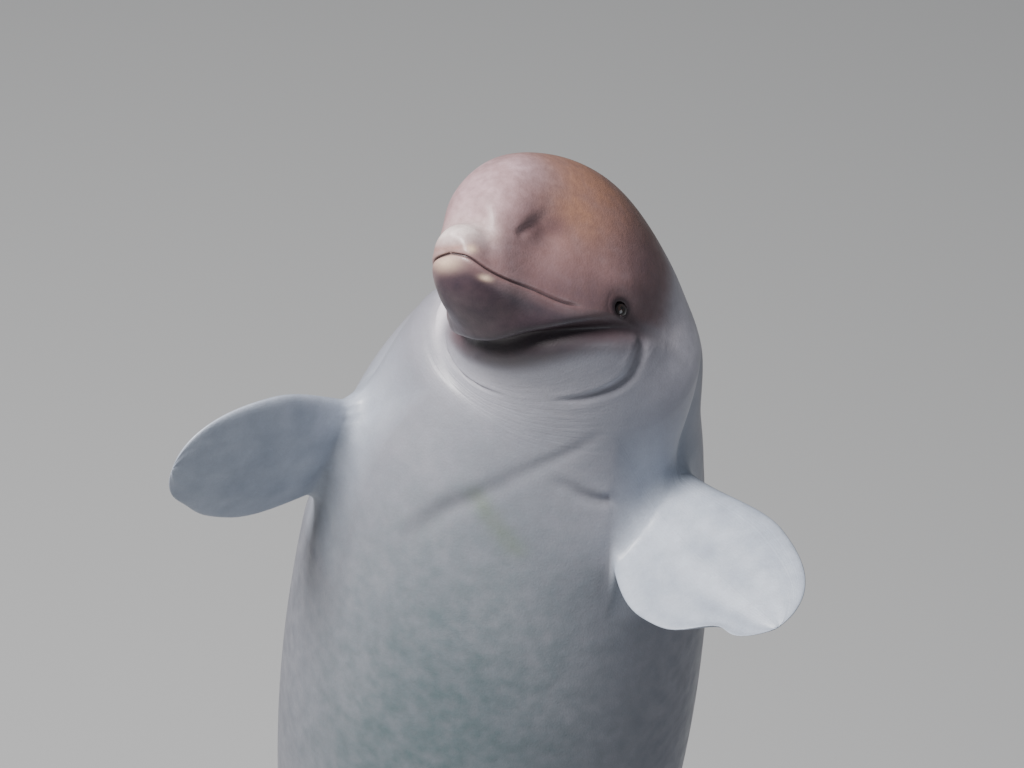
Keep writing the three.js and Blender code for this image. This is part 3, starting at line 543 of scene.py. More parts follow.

# the shade painted into the sheet's grooves, folds, furrows and blowhole
body_painted_shade = grooves(grid_t, angles, plain_surface(grid_t, angles))[1]
points = [posed(sheet_rest).reshape(-1, 3)]
rests = [sheet_rest.reshape(-1, 3)]
painted_shades = [np.concatenate([body_painted_shade.ravel(), np.zeros(fluke_rest[..., 0].size)])]
paddles = [np.zeros_like(painted_shades[0])]
faces = []
cell_open = np.zeros((rows - 1, columns), bool)


def add_points(world, rest, painted_shade=0, paddle=0):
    """Keeps new points, their place at rest, the shade painted on them and how far they belong to a
    flipper, and returns their numbers."""
    first = sum(len(p) for p in points)
    points.append(world.reshape(-1, 3))
    rests.append(np.broadcast_to(rest, world.shape).reshape(-1, 3))
    painted_shades.append(np.broadcast_to(painted_shade, world.shape[:-1]).ravel())
    paddles.append(np.broadcast_to(paddle, world.shape[:-1]).ravel())
    return first + np.arange(world[..., 0].size).reshape(world.shape[:-1])


def add_rings(loop, rings, pole):
    """Faces from a loop of points inwards over the rings, closed by a fan round the pole."""
    loops = np.vstack([loop, rings])
    after = np.roll(loops, -1, axis=1)
    faces.extend(np.stack([loops[:-1], after[:-1], after[1:], loops[1:]], axis=-1).reshape(-1, 4))
    faces.extend(np.stack([loops[-1], after[-1], np.full_like(loops[-1], pole)], axis=-1))


def open_window(t0, a0, reach):
    """Takes the cells within reach of a station and an angle out of the sheet. Returns the numbers
    of the points round this window, with their stations and angles."""
    i0, i1 = np.searchsorted(stations, (t0 - reach[0], t0 + reach[0]))
    row_angles = angles[(i0 + i1) // 2]
    j0, j1 = np.searchsorted(np.concatenate([row_angles - 2 * np.pi, row_angles]),
                             (a0 - reach[1], a0 + reach[1])) - columns
    i, j = np.arange(i0, i1 + 1), np.arange(j0, j1 + 1)
    cell_open[np.ix_(i[:-1], j[:-1] % columns)] = True
    ring_i = np.concatenate([np.full(len(j) - 1, i0), i[:-1], np.full(len(j) - 1, i1), i[:0:-1]])
    ring_j = np.concatenate([j[:-1], np.full(len(i) - 1, j1), j[:0:-1], np.full(len(i) - 1, j0)])
    turns = np.floor_divide(ring_j, columns)
    ring_angle = angles[ring_i, ring_j % columns] + turns * 2 * np.pi
    return ring_i * columns + ring_j % columns, stations[ring_i], ring_angle


# Eyes: lids close round a ball that is sunk in the head. Sizes are half widths in metres.
EYE = {"station": 5.98, "drop": .03, "ball": .0215, "depth": .0150, "socket": .0004,
       "wide": .0190, "high": .0148, "lid": .0016, "crease": .0004}
EYE_WINDOW = (.34, .24)           # stations and radians on each side of the eye
PROBE = .01                       # metres, stations or radians to a point that gives a direction
# The lid's bulge and crease and the shade painted round it, at distances in half widths of the eye
LID = {"rings": 25, "gather": .8, "bulge_at": 1.15, "bulge_width": .55, "crease_at": 2.1,
       "crease_width": .22, "eye_shade": .95, "eye_shade_from": 1.2, "eye_shade_width": .45, "eye_shade_sets_in": .4,
       "socket_rings": 11}


def eye_frame(side):
    """The eye's own axes as columns: forward, up and outward, and the point on the skin."""
    angle = np.pi - EYE["drop"] if side == "left" else EYE["drop"]
    t, a = np.array(EYE["station"]), np.array(angle)
    at = posed(rest_point(t, a))
    outward = unit(posed(rest_point(t, a, PROBE)) - at)
    turn = along_spine(rest_point(t, a)[..., 0])[1]
    forward = -turn[:, 0]
    forward = unit(forward - outward * np.dot(forward, outward))
    return np.stack([forward, np.cross(outward, forward), outward], axis=1), at


def lids(side):
    """Rings from the window to the rim of the lids: points move over the skin towards the eye's
    ellipse, and lift with the lid. Then they follow the socket's ball round behind the eye."""
    centre = np.pi - EYE["drop"] if side == "left" else EYE["drop"]
    t0 = EYE["station"]
    loop, loop_t, loop_a = open_window(t0, centre, EYE_WINDOW)
    axes, at = eye_frame(side)
    flat = (posed(rest_point(loop_t, loop_a)) - at) @ axes
    turn = np.arctan2(flat[:, 1], flat[:, 0])
    rim = np.stack([EYE["wide"] * np.cos(turn), EYE["high"] * np.sin(turn)], axis=1)
    # how station and angle change along the eye's own axes, to go from the rim back to the skin
    probes = np.array([[t0, centre], [t0 + PROBE, centre], [t0, centre + PROBE]])
    here, behind, above_it = posed(rest_point(*probes.T)) @ axes[:, :2]
    back = np.linalg.inv(np.stack([behind - here, above_it - here], axis=1) / PROBE)
    rim_ta = rim @ back.T + [t0, centre]
    loop_ta = np.stack([loop_t, loop_a], axis=1)
    share = np.linspace(0, 1, LID["rings"] + 1)[1:, None] ** LID["gather"]
    ta = loop_ta + (rim_ta - loop_ta) * share[..., None]
    spot = (posed(rest_point(ta[..., 0], ta[..., 1])) - at) @ axes
    r = np.hypot(spot[..., 0] / EYE["wide"], spot[..., 1] / EYE["high"])
    bulge = (EYE["lid"] * bell(r - LID["bulge_at"], LID["bulge_width"])
             - EYE["crease"] * bell(r - LID["crease_at"], LID["crease_width"]))
    rest = rest_point(ta[..., 0], ta[..., 1], bulge)
    # a ring of painted shade round the eye, joined with the shade painted in the grooves
    eye_shade = (LID["eye_shade"] * bell(np.maximum(0, r - LID["eye_shade_from"]), LID["eye_shade_width"])
            * smooth_step(share, 0, LID["eye_shade_sets_in"]))
    eye_shade = np.maximum(eye_shade, grooves(ta[..., 0], ta[..., 1], rest)[1])
    ball = EYE["ball"] + EYE["socket"]
    rim_angle = np.arcsin(np.hypot(rim[:, 0], rim[:, 1]) / ball)
    share = np.linspace(0, 1, LID["socket_rings"] + 1)[:-1, None]
    polar = rim_angle + (np.pi - rim_angle) * share
    socket = np.stack([ball * np.sin(polar) * np.cos(turn), ball * np.sin(polar) * np.sin(turn),
                       ball * np.cos(polar) - EYE["depth"]], axis=-1) @ axes.T + at
    # the socket behind the ball and its pole are painted fully in shade
    rings = np.vstack([add_points(posed(rest), rest, eye_shade), add_points(socket, rest[-1], 1)])
    pole = add_points(at - axes[:, 2] * (EYE["depth"] + ball), rest[-1].mean(axis=0), 1)
    add_rings(loop, rings, pole)


lids("left")
lids("right")

# Flippers: rounded paddles that grow out of the lower side of the chest and are held forward,
# with a shallow notch in the curled trailing edge and low ridges where the fingers lie under the
# skin. The span and the leading edge are directions in the finished model.
FLIPPER = {"length": .550, "root": .115, "wide": .190, "widest": .6, "thick": .042, "thinning": .7,
           "full_edge": .25, "set_back": .030, "sunk": .2, "round_tip": 4.3, "round_edge": 6,
           "notch": .86, "notch_width": .075, "curl_power": 1.5, "fingers": 4,
           "finger_rise": .0018, "fingers_at": .6, "fingers_reach": .34}
FLIPPERS = {
    "right": {"back": .872, "angle": -.26, "span": (-.77, -.58, .27), "lead": (.3, .05, .95),
              "curl": .020, "sweep": .040, "notch": .010},
    "left": {"back": .770, "angle": np.pi + .2, "span": (.4, -.91, .02), "lead": (.83, .37, .42),
             "curl": .050, "sweep": .072, "notch": .045},
}
FLIPPER_WINDOW = (1.9, .62)       # stations and radians on each side of the root
STAND_CLEAR = .03                 # how far out of the chest a flipper's own surface begins
SEARCHED, SEARCH_POINTS = .9, 91  # the share of its length in which that place is looked for
TRUNK_NEAR = (.5, 1.6)            # stretch of the spine that is near the flippers
BLADE_STEP = .02                  # share of its length to a point that gives a direction
FLATTEN = .45                     # how much of a height counts in sorting points round the root
START_ROUNDS, FILLET_ROUNDS = 6, 12           # how often the start and the fillet are smoothed
FILLET_RINGS, BLADE_RINGS = 15, 32


def flipper_axes(side):
    """A flipper's own directions: out along its span, ahead to its leading edge, and across."""
    out, lead = unit(np.array(FLIPPERS[side]["span"])), np.array(FLIPPERS[side]["lead"])
    ahead = unit(lead - out * np.dot(lead, out))
    return out, ahead, np.cross(out, ahead)


def flipper_surface(side, s, turn):
    """A paddle along a straight span: across it an ellipse whose width grows, then closes round
    the tip. Its trailing edge is curled and notched, and a cosine gives the fingers' ridges."""
    f = FLIPPERS[side]
    surface = plain_surface(np.array(station_of(f["back"])), np.array(f["angle"]))
    root = posed(surface * [1, 1 - FLIPPER["sunk"], 1 - FLIPPER["sunk"]])
    out, ahead, across = flipper_axes(side)
    growth = smooth_step(s, 0, FLIPPER["widest"])
    full = FLIPPER["root"] + (FLIPPER["wide"] - FLIPPER["root"]) * growth
    closing = np.sqrt(1 - s ** FLIPPER["round_tip"])
    half_width = full * closing
    thick = FLIPPER["thick"] * (1 - FLIPPER["thinning"] * s) * np.sqrt(1 - s ** FLIPPER["round_edge"])
    c = np.cos(turn)
    notch = f["notch"] * bell(s - FLIPPER["notch"], FLIPPER["notch_width"]) * np.maximum(0, -c) ** 2
    ahead_by = f["sweep"] * s * s - FLIPPER["set_back"] + half_width * c + notch
    fingers = (FLIPPER["finger_rise"] * np.cos(FLIPPER["fingers"] * np.pi * c)
               * bell(s - FLIPPER["fingers_at"], FLIPPER["fingers_reach"]))
    across_by = ((thick * (1 + FLIPPER["full_edge"] * c) + fingers) * np.sin(turn)
                 + f["curl"] * closing * np.maximum(0, -c) ** 2 * s ** FLIPPER["curl_power"])
    return (root + (s * FLIPPER["length"])[..., None] * out + ahead_by[..., None] * ahead
            + across_by[..., None] * across)


def out_of_trunk(p):
    """How far points stand out of the trunk: each is brought back to the spine's slice that it
    lies in, and its distance is compared with the section's in that direction."""
    near = (spine_x > TRUNK_NEAR[0]) & (spine_x < TRUNK_NEAR[1])
    xs, at, turn = spine_x[near], spine_at[near], spine_turn[near]
    ahead = np.einsum("...nj,nj->...n", p[..., None, :] - at, turn[:, :, 0])
    k = np.argmin(abs(ahead), axis=-1)
    off = np.einsum("...ji,...j->...i", turn[k], p - at[k])
    t = station_of(xs[k])
    row = through_rows(BODY_ROWS, t)
    centre = row[..., 1]
    y, z = off[..., 1], off[..., 2] - centre
    half_width = row[..., 2]
    half_height = np.where(z > 0, row[..., 4] - centre, centre - row[..., 6])
    size = np.hypot(y / half_width, z / half_height)
    return (size - 1) * np.hypot(y, z) / np.maximum(size, NOTHING)


def grow_flipper(side):
    """Rings from a window in the chest: a fillet that leaves along the skin and arrives along
    the flipper, then the flipper out to its tip."""
    t0, a0 = station_of(FLIPPERS[side]["back"]), FLIPPERS[side]["angle"]
    loop, loop_t, loop_a = open_window(t0, a0, FLIPPER_WINDOW)
    rest = rest_point(loop_t, loop_a)
    border = posed(rest)
    root = flipper_surface(side, np.zeros(2), np.array([0, np.pi])).mean(axis=0)
    _, ahead, across = flipper_axes(side)
    away = border - root
    turn = np.unwrap(np.arctan2(away @ across / FLIPPER["thick"] * FLATTEN,
                                away @ ahead / FLIPPER["root"]))
    searched = np.linspace(0, SEARCHED, SEARCH_POINTS)
    lines = flipper_surface(side, *np.broadcast_arrays(searched, turn[:, None]))
    start = searched[np.argmax(out_of_trunk(lines) > STAND_CLEAR, axis=1)]
    for _ in range(START_ROUNDS):
        start = (np.roll(start, 1) + 2 * start + np.roll(start, -1)) / 4
    first = flipper_surface(side, start, turn)
    arrive = unit(flipper_surface(side, start + BLADE_STEP, turn) - first)
    inside_t, inside_a = loop_t + BLADE_STEP * (t0 - loop_t), loop_a + BLADE_STEP * (a0 - loop_a)
    leave = unit(posed(rest_point(inside_t, inside_a)) - border)
    span = np.linalg.norm(first - border, axis=1, keepdims=True)
    u = np.linspace(0, 1, FILLET_RINGS + 1)[1:, None, None]
    fillet = cubic(u, border, span * leave, first, span * arrive)
    for _ in range(FILLET_ROUNDS):
        rows_of = np.concatenate([border[None], fillet])
        fillet[:-1] = (rows_of[:-2] + rows_of[2:] + np.roll(rows_of, 1, axis=1)[1:-1]
                       + np.roll(rows_of, -1, axis=1)[1:-1]) / 4
    grown = np.sin(np.linspace(0, np.pi / 2, BLADE_RINGS + 2)[1:-1])[:, None]
    s = start + (1 - start) * grown
    blade = flipper_surface(side, s, np.broadcast_to(turn, s.shape))
    rings = np.vstack([add_points(fillet, rest, 0, u[..., 0]), add_points(blade, rest, 0, 1)])
    tip = flipper_surface(side, np.ones(1), np.zeros(1))[0]
    add_rings(loop, rings, add_points(tip, rest.mean(axis=0), 0, 1))


grow_flipper("right")
grow_flipper("left")

# The sheet's own cells, the fan at the tip of the mouth and the fan at the notch of the flukes
number = np.arange(rows * columns).reshape(rows, columns)
beside = np.roll(number, -1, axis=1)
cells = np.stack([number[:-1], beside[:-1], beside[1:], number[1:]], axis=-1)
faces.extend(cells[~cell_open])
# the tip of the mouth's groove is painted fully in shade
mouth_rest = np.array([LIP["groove"], 0, 0])
mouth_point = add_points(posed(mouth_rest), mouth_rest, 1)
notch_rest = np.array([NOTCH, 0, FLUKE["centre"]])
notch_point = add_points(posed(notch_rest), notch_rest)
faces.extend(np.stack([beside[0], number[0], np.full(columns, mouth_point)], axis=-1))
faces.extend(np.stack([number[-1], beside[-1], np.full(columns, notch_point)], axis=-1))

all_points, all_rests = np.vstack(points), np.vstack(rests)
used, renumbered = np.unique(np.concatenate([np.ravel(f) for f in faces]), return_inverse=True)
sizes = np.array([len(f) for f in faces])
starts_at = np.concatenate([[0], np.cumsum(sizes)])
face_list = [renumbered[a:b].tolist() for a, b in zip(starts_at[:-1], starts_at[1:])]
skin_points, skin_rests = all_points[used], all_rests[used]
skin_painted_shade, skin_paddle = np.concatenate(painted_shades)[used], np.concatenate(paddles)[used]


def smooth_mesh(name, places, face_list):
    """A mesh of the given points and faces, shaded smooth."""
    mesh = bpy.data.meshes.new(name)
    mesh.from_pydata(places.tolist(), [], face_list)
    mesh.update()
    mesh.validate()
    mesh.polygons.foreach_set("use_smooth", np.ones(len(mesh.polygons), bool))
    return mesh


skin_mesh = smooth_mesh("whale_skin", skin_points, face_list)
skin = new_object("whale_skin", skin_mesh)


# The skin's paint: colours laid on by masks, each a number a point that follows from its place at
# rest. Some masks paint shade, a shadow or light into the colour, as said at each.
def tint(red, green, blue):
    """A colour in shares of light from its 0 to 255 screen values."""
    screen = np.array([red, green, blue]) / 255
    light = np.where(screen <= .04045, screen / 12.92, ((screen + .055) / 1.055) ** 2.4)
    return (*light.tolist(), 1)


# Zones of colour in the order in which they lie on each other: colour, strength and soft
# spheroids, each with its centre's x, distance from the middle and z, and its radii. Some zones
# are painted shade or painted light, as said at each.
ZONES = {
    "brown_crown": (tint(170, 125, 104), 1, [(.290, .110, .250, .150, .150, .130),
                                             (.230, .150, .170, .090, .090, .090)]),
    "rosy_melon": (tint(200, 170, 178), .85, [(.070, 0, .170, .090, .100, .110),
                                              (.115, .050, .230, .075, .080, .060)]),
    # the beak's pale pink skin, painted paler still as a highlight on its top
    "pale_beak_and_highlight": (tint(244, 230, 228), 1, [(.004, .010, .052, .060, .060, .034)]),
    "cheek_warm": (tint(130, 98, 98), .6, [(.200, .150, .040, .110, .080, .060)]),
    # painted shade on the side of the head behind and below the eye, turned from the light
    "painted_temple_shade": (tint(98, 77, 82), .9, [(.365, .215, .090, .048, .090, .130),
                                            (.345, .205, -.030, .050, .060, .040),
                                            (.300, .200, -.060, .090, .080, .040)]),
    # painted shade in the hollow beside the melon's furrows
    "furrow_shade": (tint(100, 72, 76), .7, [(.140, .112, .096, .034, .030, .026),
                                             (.180, .125, .110, .034, .034, .026)]),
    "low_cheek": (tint(92, 68, 74), .8, [(.200, .150, -.030, .100, .070, .044),
                                         (.290, .190, -.020, .070, .060, .044)]),
    "brown_lip": (tint(160, 116, 104), .6, [(.004, .020, .010, .030, .040, .007)]),
    # painted shade: the belly darker and blue-green, as under water
    "painted_underwater_shade": (tint(88, 107, 112), .9, [(1.550, 0, -.400, .950, .500, .340)]),
    # painted shade on the flank turned from the light
    "painted_side_shade": (tint(92, 97, 110), .7, [(1.400, .520, -.100, .850, .240, .300)]),
    # painted light on the neck behind the eye, on the side turned from the lamp
    "painted_neck_light": (tint(240, 234, 244), 1, [(.455, .275, .050, .040, .080, .130)]),
}
BODY_COLOUR, BODY_SHADE = tint(166, 165, 176), tint(132, 134, 146)
PADDLE_COLOUR, PADDLE_SHADE = tint(184, 193, 208), tint(158, 168, 184)
# the jaw's colour is painted shade: the skin of the jaw is the head's colour
HEAD_COLOUR, JAW_SHADE_COLOUR = tint(142, 110, 111), tint(52, 40, 50)
# the crease colour is painted shade, for the grooves, round the eyes and under the jaw
LIP_COLOUR, CREASE_SHADE_COLOUR = tint(222, 194, 172), tint(44, 31, 38)
SLASH_COLOUR, FRECKLE_COLOUR, GRAIN_COLOUR = tint(112, 124, 116), tint(112, 84, 80), tint(90, 76, 84)
# Where the head's paint, the painted shadow on the throat and the painted shade on the jaw begin
# and end: metres back from the mouth, from the fold under the jaw or below the mouth's line, and
# radians from the keel
HEAD_PAINT = {"rear": .392, "edge": .008, "fades": (.002, .040)}
PAINTED_THROAT_SHADOW = {"strength": .92, "front": (-.012, .012), "rear": (.042, .098), "side": (1.1, 1.7)}
PAINTED_JAW_SHADE = {"below": (.002, .034), "rear": (.24, .36), "fold": (-.01, .02)}
PALE_LIP = [((.003, .012, -.020), (.020, .034, .015)), ((.048, -.066, -.044), (.013, .012, .0055)),
            ((.010, -.046, .008), (.010, .010, .009))]
GREEN_SLASH = {"start": np.array([.755, .020, -.305]), "run": np.array([.090, -.112, -.028]),
               "strength": .75, "half_width": .024}
WRINKLED_NECK = (.47, .13)        # middle and reach


def keep_on_points(mesh, name, values):
    """Keeps one number a point on a mesh, for its material."""
    mesh.attributes.new(name, "FLOAT", "POINT").data.foreach_set("value", values.astype(np.float32))


def paint_mask(name, values):
    """Keeps a mask of the skin's paint, held between 0 and 1."""
    keep_on_points(skin_mesh, name, np.clip(values, 0, 1))


rest_x, rest_y, rest_z = skin_rests.T
from_keel = np.arctan2(rest_y, -rest_z)
under_jaw = np.array(FOLDS["under_jaw"][0])
behind_fold = rest_x - through_rows(under_jaw, np.clip(from_keel, under_jaw[0, 0],
                                                       under_jaw[-1, 0]))[:, 0]
edge = HEAD_PAINT["edge"]
behind_head = edge * np.logaddexp(behind_fold / edge, (rest_x - HEAD_PAINT["rear"]) / edge)
paint_mask("head", 1 - smooth_step(behind_head, *HEAD_PAINT["fades"]))
# painted shadow that the jaw casts on the throat
paint_mask("painted_throat_shadow", PAINTED_THROAT_SHADOW["strength"]
           * smooth_step(behind_fold, *PAINTED_THROAT_SHADOW["front"])
           * (1 - smooth_step(behind_fold, *PAINTED_THROAT_SHADOW["rear"]))
           * (1 - smooth_step(abs(from_keel), *PAINTED_THROAT_SHADOW["side"])))
below_mouth = np.interp(rest_x, HEAD_ROWS[:, 1], HEAD_ROWS[:, 2]) - rest_z
# painted shade on the lower jaw, below the mouth's line
paint_mask("jaw", smooth_step(below_mouth, *PAINTED_JAW_SHADE["below"])
           * (1 - smooth_step(rest_x, *PAINTED_JAW_SHADE["rear"]))
           * (1 - smooth_step(behind_fold, *PAINTED_JAW_SHADE["fold"])))
paint_mask("pale_lip", np.max([bell(np.linalg.norm((skin_rests - at) / size, axis=1), 1)
                               for at, size in PALE_LIP], axis=0))
# painted shade in the grooves, folds, furrows, blowhole and round the eyes
paint_mask("painted_shade", skin_painted_shade)
paint_mask("paddle", skin_paddle)
along_slash, run = skin_rests - GREEN_SLASH["start"], GREEN_SLASH["run"]
off_slash = along_slash - np.clip(along_slash @ run / (run @ run), 0, 1)[:, None] * run
paint_mask("green_slash", GREEN_SLASH["strength"]
           * bell(np.linalg.norm(off_slash, axis=1), GREEN_SLASH["half_width"]))
paint_mask("neck", bell(rest_x - WRINKLED_NECK[0], WRINKLED_NECK[1]))
for name, (_, strength, spheroids) in ZONES.items():
    paint_mask(name, strength * np.max([
        np.exp(-((rest_x - x) / rx) ** 2 - ((abs(rest_y) - abs(y)) / ry) ** 2
               - ((rest_z - z) / rz) ** 2) for x, y, z, rx, ry, rz in spheroids], axis=0))
skin_mesh.attributes.new("at_rest", "FLOAT_VECTOR", "POINT").data.foreach_set(
    "vector", skin_rests.astype(np.float32).ravel())


def put(tree, kind, inputs=(), **settings):
    """A new shader node with its settings and inputs."""
    new = tree.nodes.new(kind)
    for name, value in settings.items():
        setattr(new, name, value)
    give(new, dict(inputs))
    return new


def attribute(tree, name, output="Fac"):
    """The output of a node that reads an attribute of the mesh."""
    return put(tree, "ShaderNodeAttribute", attribute_name=name).outputs[output]


def math_of(tree, operation, first, second=0):
    """The output of an operation on two values or sockets."""
    return put(tree, "ShaderNodeMath", {0: first, 1: second}, operation=operation).outputs[0]


def mixed(tree, share, first, second):
    """The output of a mix of two colours."""
    return put(tree, "ShaderNodeMix", {0: share, 6: first, 7: second}, data_type="RGBA").outputs[2]


# One node group for all uneven finishes: noise in metres, spread to fill the range from 0 to 1
uneven = bpy.data.node_groups.new("uneven", "ShaderNodeTree")
for name, way, kind in (("Place", "INPUT", "Vector"), ("Scale", "INPUT", "Float"),
                        ("Detail", "INPUT", "Float"), ("Value", "OUTPUT", "Float")):
    uneven.interface.new_socket(name, in_out=way, socket_type="NodeSocket" + kind)
group_in, group_out = put(uneven, "NodeGroupInput"), put(uneven, "NodeGroupOutput")
cloud = put(uneven, "ShaderNodeTexNoise", {"Vector": group_in.outputs["Place"],
                                           "Scale": group_in.outputs["Scale"],
                                           "Detail": group_in.outputs["Detail"]})
spread = put(uneven, "ShaderNodeMapRange", {"Value": cloud.outputs["Fac"], "From Min": .3,
                                            "From Max": .7})
give(group_out, {"Value": spread.outputs["Result"]})


def uneven_value(tree, place, scale, detail=3):
    """The uneven group at a scale, in waves a metre."""
    return put(tree, "ShaderNodeGroup", {"Place": place, "Scale": scale, "Detail": detail},
               node_tree=uneven).outputs["Value"]


def ranged(tree, value, low, high):
    """A value from 0 to 1 brought into the range from low to high."""
    return put(tree, "ShaderNodeMapRange", {"Value": value, "To Min": low,
                                            "To Max": high}).outputs["Result"]


def own_place(tree):
    """The output that gives a point's place in its object, in metres."""
    return put(tree, "ShaderNodeTexCoord").outputs["Object"]


def bumped(tree, height, strength, distance):
    """The normal of a finish that is raised by a height from 0 to 1, over a distance in metres."""
    return put(tree, "ShaderNodeBump", {"Height": height, "Strength": strength,
                                        "Distance": distance}).outputs["Normal"]


def masked(tree, name, strength):
    """The output of a mask of the skin's paint times a strength."""
    return math_of(tree, "MULTIPLY", attribute(tree, name), strength)


# The skin's finish: large blotches, mottle, grain, and brown patches and freckles that are
# strongest on the head
BLOTCHES, MOTTLE, GRAIN, PADDLE_MOTTLE, PATCHES = 3.5, 26, 220, 14, 60        # waves a metre
BODY_FRECKLES, HEAD_FRECKLES, CREASE_SHADE_STRENGTH = .06, .30, .88
SKIN_ROUGHNESS, COAT, COAT_ROUGHNESS = (.40, .54), .24, .28
WRINKLE_SCALES, WRINKLE_HEIGHT, GRAIN_HEIGHT, MOTTLE_HEIGHT = (75, 9, 9), 1.6, .22, .5

skin_material, tree, skin_shader = new_material("damp_skin")
place = own_place(tree)
blotches, mottle = uneven_value(tree, place, BLOTCHES), uneven_value(tree, place, MOTTLE, 5)
grain = uneven_value(tree, place, GRAIN, 2)
ragged = ranged(tree, mottle, .75, 1.2)
freckled = math_of(tree, "ADD", BODY_FRECKLES, masked(tree, "head", HEAD_FRECKLES))
layers = [(masked(tree, "head", ranged(tree, mottle, .85, 1.05)), HEAD_COLOUR),
          # painted shadow under the jaw, in the crease shade colour
          (attribute(tree, "painted_throat_shadow"), CREASE_SHADE_COLOUR)]
layers += [(masked(tree, name, ragged), zone[0]) for name, zone in ZONES.items()]
layers += [(attribute(tree, "paddle"), mixed(tree, uneven_value(tree, place, PADDLE_MOTTLE, 5),
                                             PADDLE_SHADE, PADDLE_COLOUR)),
           (masked(tree, "green_slash", ragged), SLASH_COLOUR),
           (math_of(tree, "MULTIPLY", uneven_value(tree, place, PATCHES, 4), freckled),
            FRECKLE_COLOUR),
           # painted shade on the lower jaw
           (masked(tree, "jaw", ranged(tree, mottle, .84, 1)), JAW_SHADE_COLOUR),
           (masked(tree, "pale_lip", ragged), LIP_COLOUR),
           (ranged(tree, grain, 0, .10), GRAIN_COLOUR),
           # painted shade in the grooves and round the eyes
           (masked(tree, "painted_shade", CREASE_SHADE_STRENGTH), CREASE_SHADE_COLOUR)]
colour = mixed(tree, ranged(tree, blotches, 0, .8), BODY_COLOUR, BODY_SHADE)
for share, paint in layers:
    colour = mixed(tree, share, colour, paint)

# Fine wrinkles run round the neck, and the whole skin has a fine grain
along = put(tree, "ShaderNodeVectorMath", {0: attribute(tree, "at_rest", "Vector"),
                                           1: WRINKLE_SCALES}, operation="MULTIPLY").outputs[0]
wrinkles = put(tree, "ShaderNodeTexNoise", {"Vector": along, "Scale": 1, "Detail": 3}).outputs["Fac"]
height = math_of(tree, "MULTIPLY", masked(tree, "neck", wrinkles), WRINKLE_HEIGHT)
for finish, high in ((grain, GRAIN_HEIGHT), (mottle, MOTTLE_HEIGHT)):
    height = math_of(tree, "ADD", height, math_of(tree, "MULTIPLY", finish, high))
give(skin_shader, {"Base Color": colour, "Roughness": ranged(tree, mottle, *SKIN_ROUGHNESS),
                   "Normal": bumped(tree, height, .5, .0018), "Coat Weight": COAT,
                   "Coat Roughness": COAT_ROUGHNESS})
skin_mesh.materials.append(skin_material)
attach(skin, "root")
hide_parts("head", "melon", "lower_jaw", "neck", "chest", "belly", "loin", "tail_stock",
            "fluke_left", "fluke_right", "flipper_left", "flipper_right")

# The eyes: polished balls of dark brown glass behind the lids, with a clear bulge in front of the
# iris. Each is pressed into its socket from behind, so that the lids lie on it.
BALL_RINGS, BALL_SIDES = 48, 64
CORNEA = {"rise": .0007, "reach": .5}
PUPIL, IRIS = .17, .46            # reach from the middle of the pupil, in radians
IRIS_FLECKS, EYE_SMEARS = 900, 300            # waves a metre
EYE_COLOURS = {"pupil": tint(9, 8, 9), "iris": tint(36, 25, 21), "rim": tint(16, 12, 12),
               "white": tint(30, 23, 23)}

eye_material, tree, eye_shader = new_material("eye_glass")
place = own_place(tree)
reach = math_of(tree, "ADD", attribute(tree, "from_pupil"),
                ranged(tree, uneven_value(tree, place, IRIS_FLECKS), -.02, .02))
rings = put(tree, "ShaderNodeValToRGB", {"Fac": reach})
ramp_stops = [(PUPIL - .02, "pupil"), (PUPIL + .01, "iris"), (IRIS - .06, "iris"), (IRIS, "rim"),
              (IRIS + .12, "white")]
for k, (stop, name) in enumerate(ramp_stops):
    element = rings.color_ramp.elements[0] if k == 0 else rings.color_ramp.elements.new(stop)
    element.position, element.color = stop, EYE_COLOURS[name]
rings.color_ramp.elements.remove(rings.color_ramp.elements[-1])
give(eye_shader, {"Base Color": rings.outputs["Color"],
                  "Roughness": ranged(tree, uneven_value(tree, place, EYE_SMEARS), .05, .12),
                  "Coat Weight": 1, "Coat Roughness": .03})


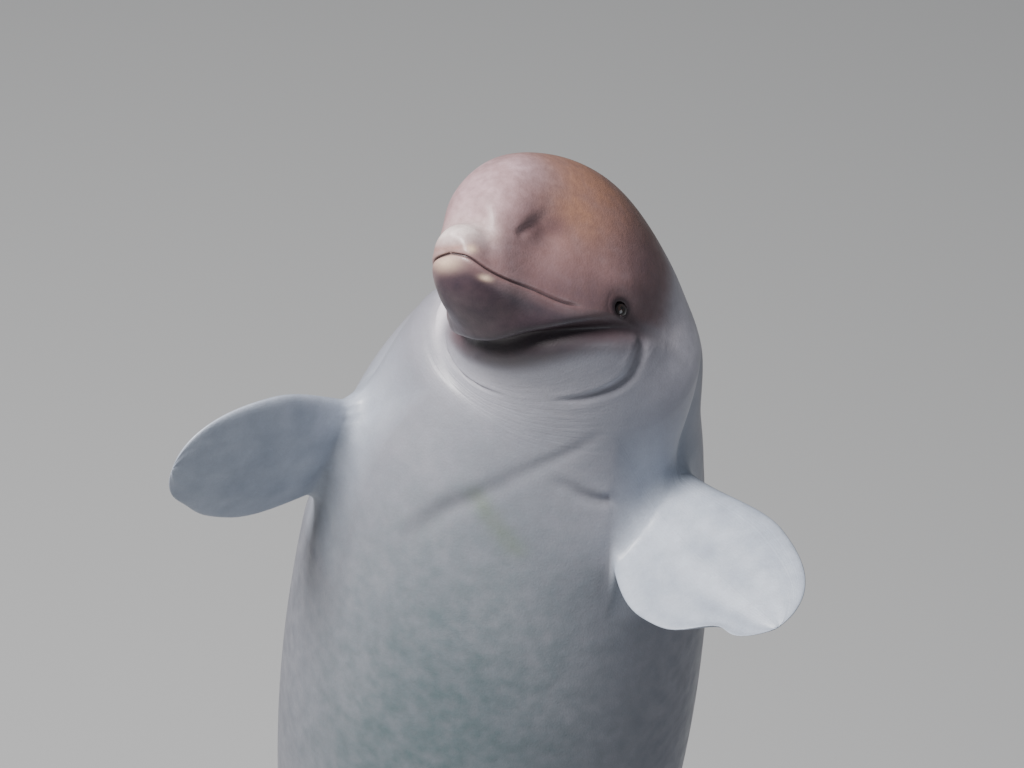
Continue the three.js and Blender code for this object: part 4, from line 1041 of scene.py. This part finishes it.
def eye_ball(side):
    """A sphere about the eye's own outward axis, whose radius grows by a bell shape in front."""
    axes, at = eye_frame(side)
    polar = np.linspace(0, np.pi, BALL_RINGS + 1)[1:-1, None]
    turn = np.linspace(0, 2 * np.pi, BALL_SIDES, endpoint=False)
    radius = EYE["ball"] + CORNEA["rise"] * bell(polar, CORNEA["reach"])
    local = np.stack(np.broadcast_arrays(radius * np.sin(polar) * np.cos(turn),
                                         radius * np.sin(polar) * np.sin(turn),
                                         radius * np.cos(polar)), axis=-1).reshape(-1, 3)
    ends = [[0, 0, EYE["ball"] + CORNEA["rise"]], [0, 0, -EYE["ball"]]]
    centre = at - EYE["depth"] * axes[:, 2]
    places = np.vstack([local, ends]) @ axes.T + centre
    number = np.arange(len(local)).reshape(-1, BALL_SIDES)
    beside = np.roll(number, -1, axis=1)
    quads = np.stack([number[:-1], number[1:], beside[1:], beside[:-1]], axis=-1).reshape(-1, 4)
    front = np.stack([np.full(BALL_SIDES, len(local)), number[0], beside[0]], axis=-1)
    rear = np.stack([number[-1], np.full(BALL_SIDES, len(local) + 1), beside[-1]], axis=-1)
    mesh = smooth_mesh("eye_ball_" + side, places,
                       quads.tolist() + front.tolist() + rear.tolist())
    from_pupil = np.concatenate([np.broadcast_to(polar, number.shape).ravel(), [0, np.pi]])
    keep_on_points(mesh, "from_pupil", from_pupil)
    ball = new_object("eye_ball_" + side, mesh)
    mesh.materials.append(eye_material)
    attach(ball, "root")
    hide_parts("eye_" + side)


eye_ball("left")
eye_ball("right")

# The base of the stand: a heavy flat board with rounded edges under dark grey satin paint, put on
# with a roller. The CAD's board is kept as it is.
BOARD_COLOUR, BOARD_STREAK, BOARD_STIPPLE = tint(92, 93, 96), tint(108, 108, 109), tint(70, 71, 74)
STIPPLE, STREAKS = 260, 5         # waves a metre


def dress(name, material):
    """Gives one of the CAD's nodes its material."""
    for material_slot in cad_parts[name].material_slots:
        material_slot.material = material


board_material, tree, board_shader = new_material("board_paint")
place = own_place(tree)
stipple, streaks = uneven_value(tree, place, STIPPLE, 2), uneven_value(tree, place, STREAKS, 4)
dusty = mixed(tree, ranged(tree, streaks, 0, .5), BOARD_COLOUR, BOARD_STREAK)
give(board_shader, {"Base Color": mixed(tree, ranged(tree, stipple, 0, .15), dusty, BOARD_STIPPLE),
                    "Roughness": ranged(tree, streaks, .38, .52),
                    "Normal": bumped(tree, stipple, .3, .0004)})
dress("stand_base", board_material)

# The two rods and their feet: round steel bar, brushed along its length and turned feet, screwed
# down to the board. The CAD's solids are kept as they are.
DRAWN_LONG = .012                 # scale of the brushing along the bar, as a share of that across it
BRUSHING, SMEARS = 900, 12        # waves a metre
STEEL_DARK, STEEL_LIGHT = tint(186, 186, 188), tint(204, 204, 204)

steel_material, tree, steel_shader = new_material("brushed_steel")
place = own_place(tree)
drawn = put(tree, "ShaderNodeMapping", {"Vector": place,
                                        "Scale": (1, 1, DRAWN_LONG)}).outputs["Vector"]
brushing, smears = uneven_value(tree, drawn, BRUSHING, 2), uneven_value(tree, place, SMEARS, 4)
give(steel_shader, {"Base Color": mixed(tree, brushing, STEEL_DARK, STEEL_LIGHT), "Metallic": 1,
                    "Roughness": math_of(tree, "ADD", ranged(tree, brushing, .24, .34),
                                         ranged(tree, smears, 0, .12)),
                    "Normal": bumped(tree, brushing, .25, .0002)})
for name in ("stand_foot_left", "stand_foot_right", "stand_rod_left", "stand_rod_right"):
    dress(name, steel_material)
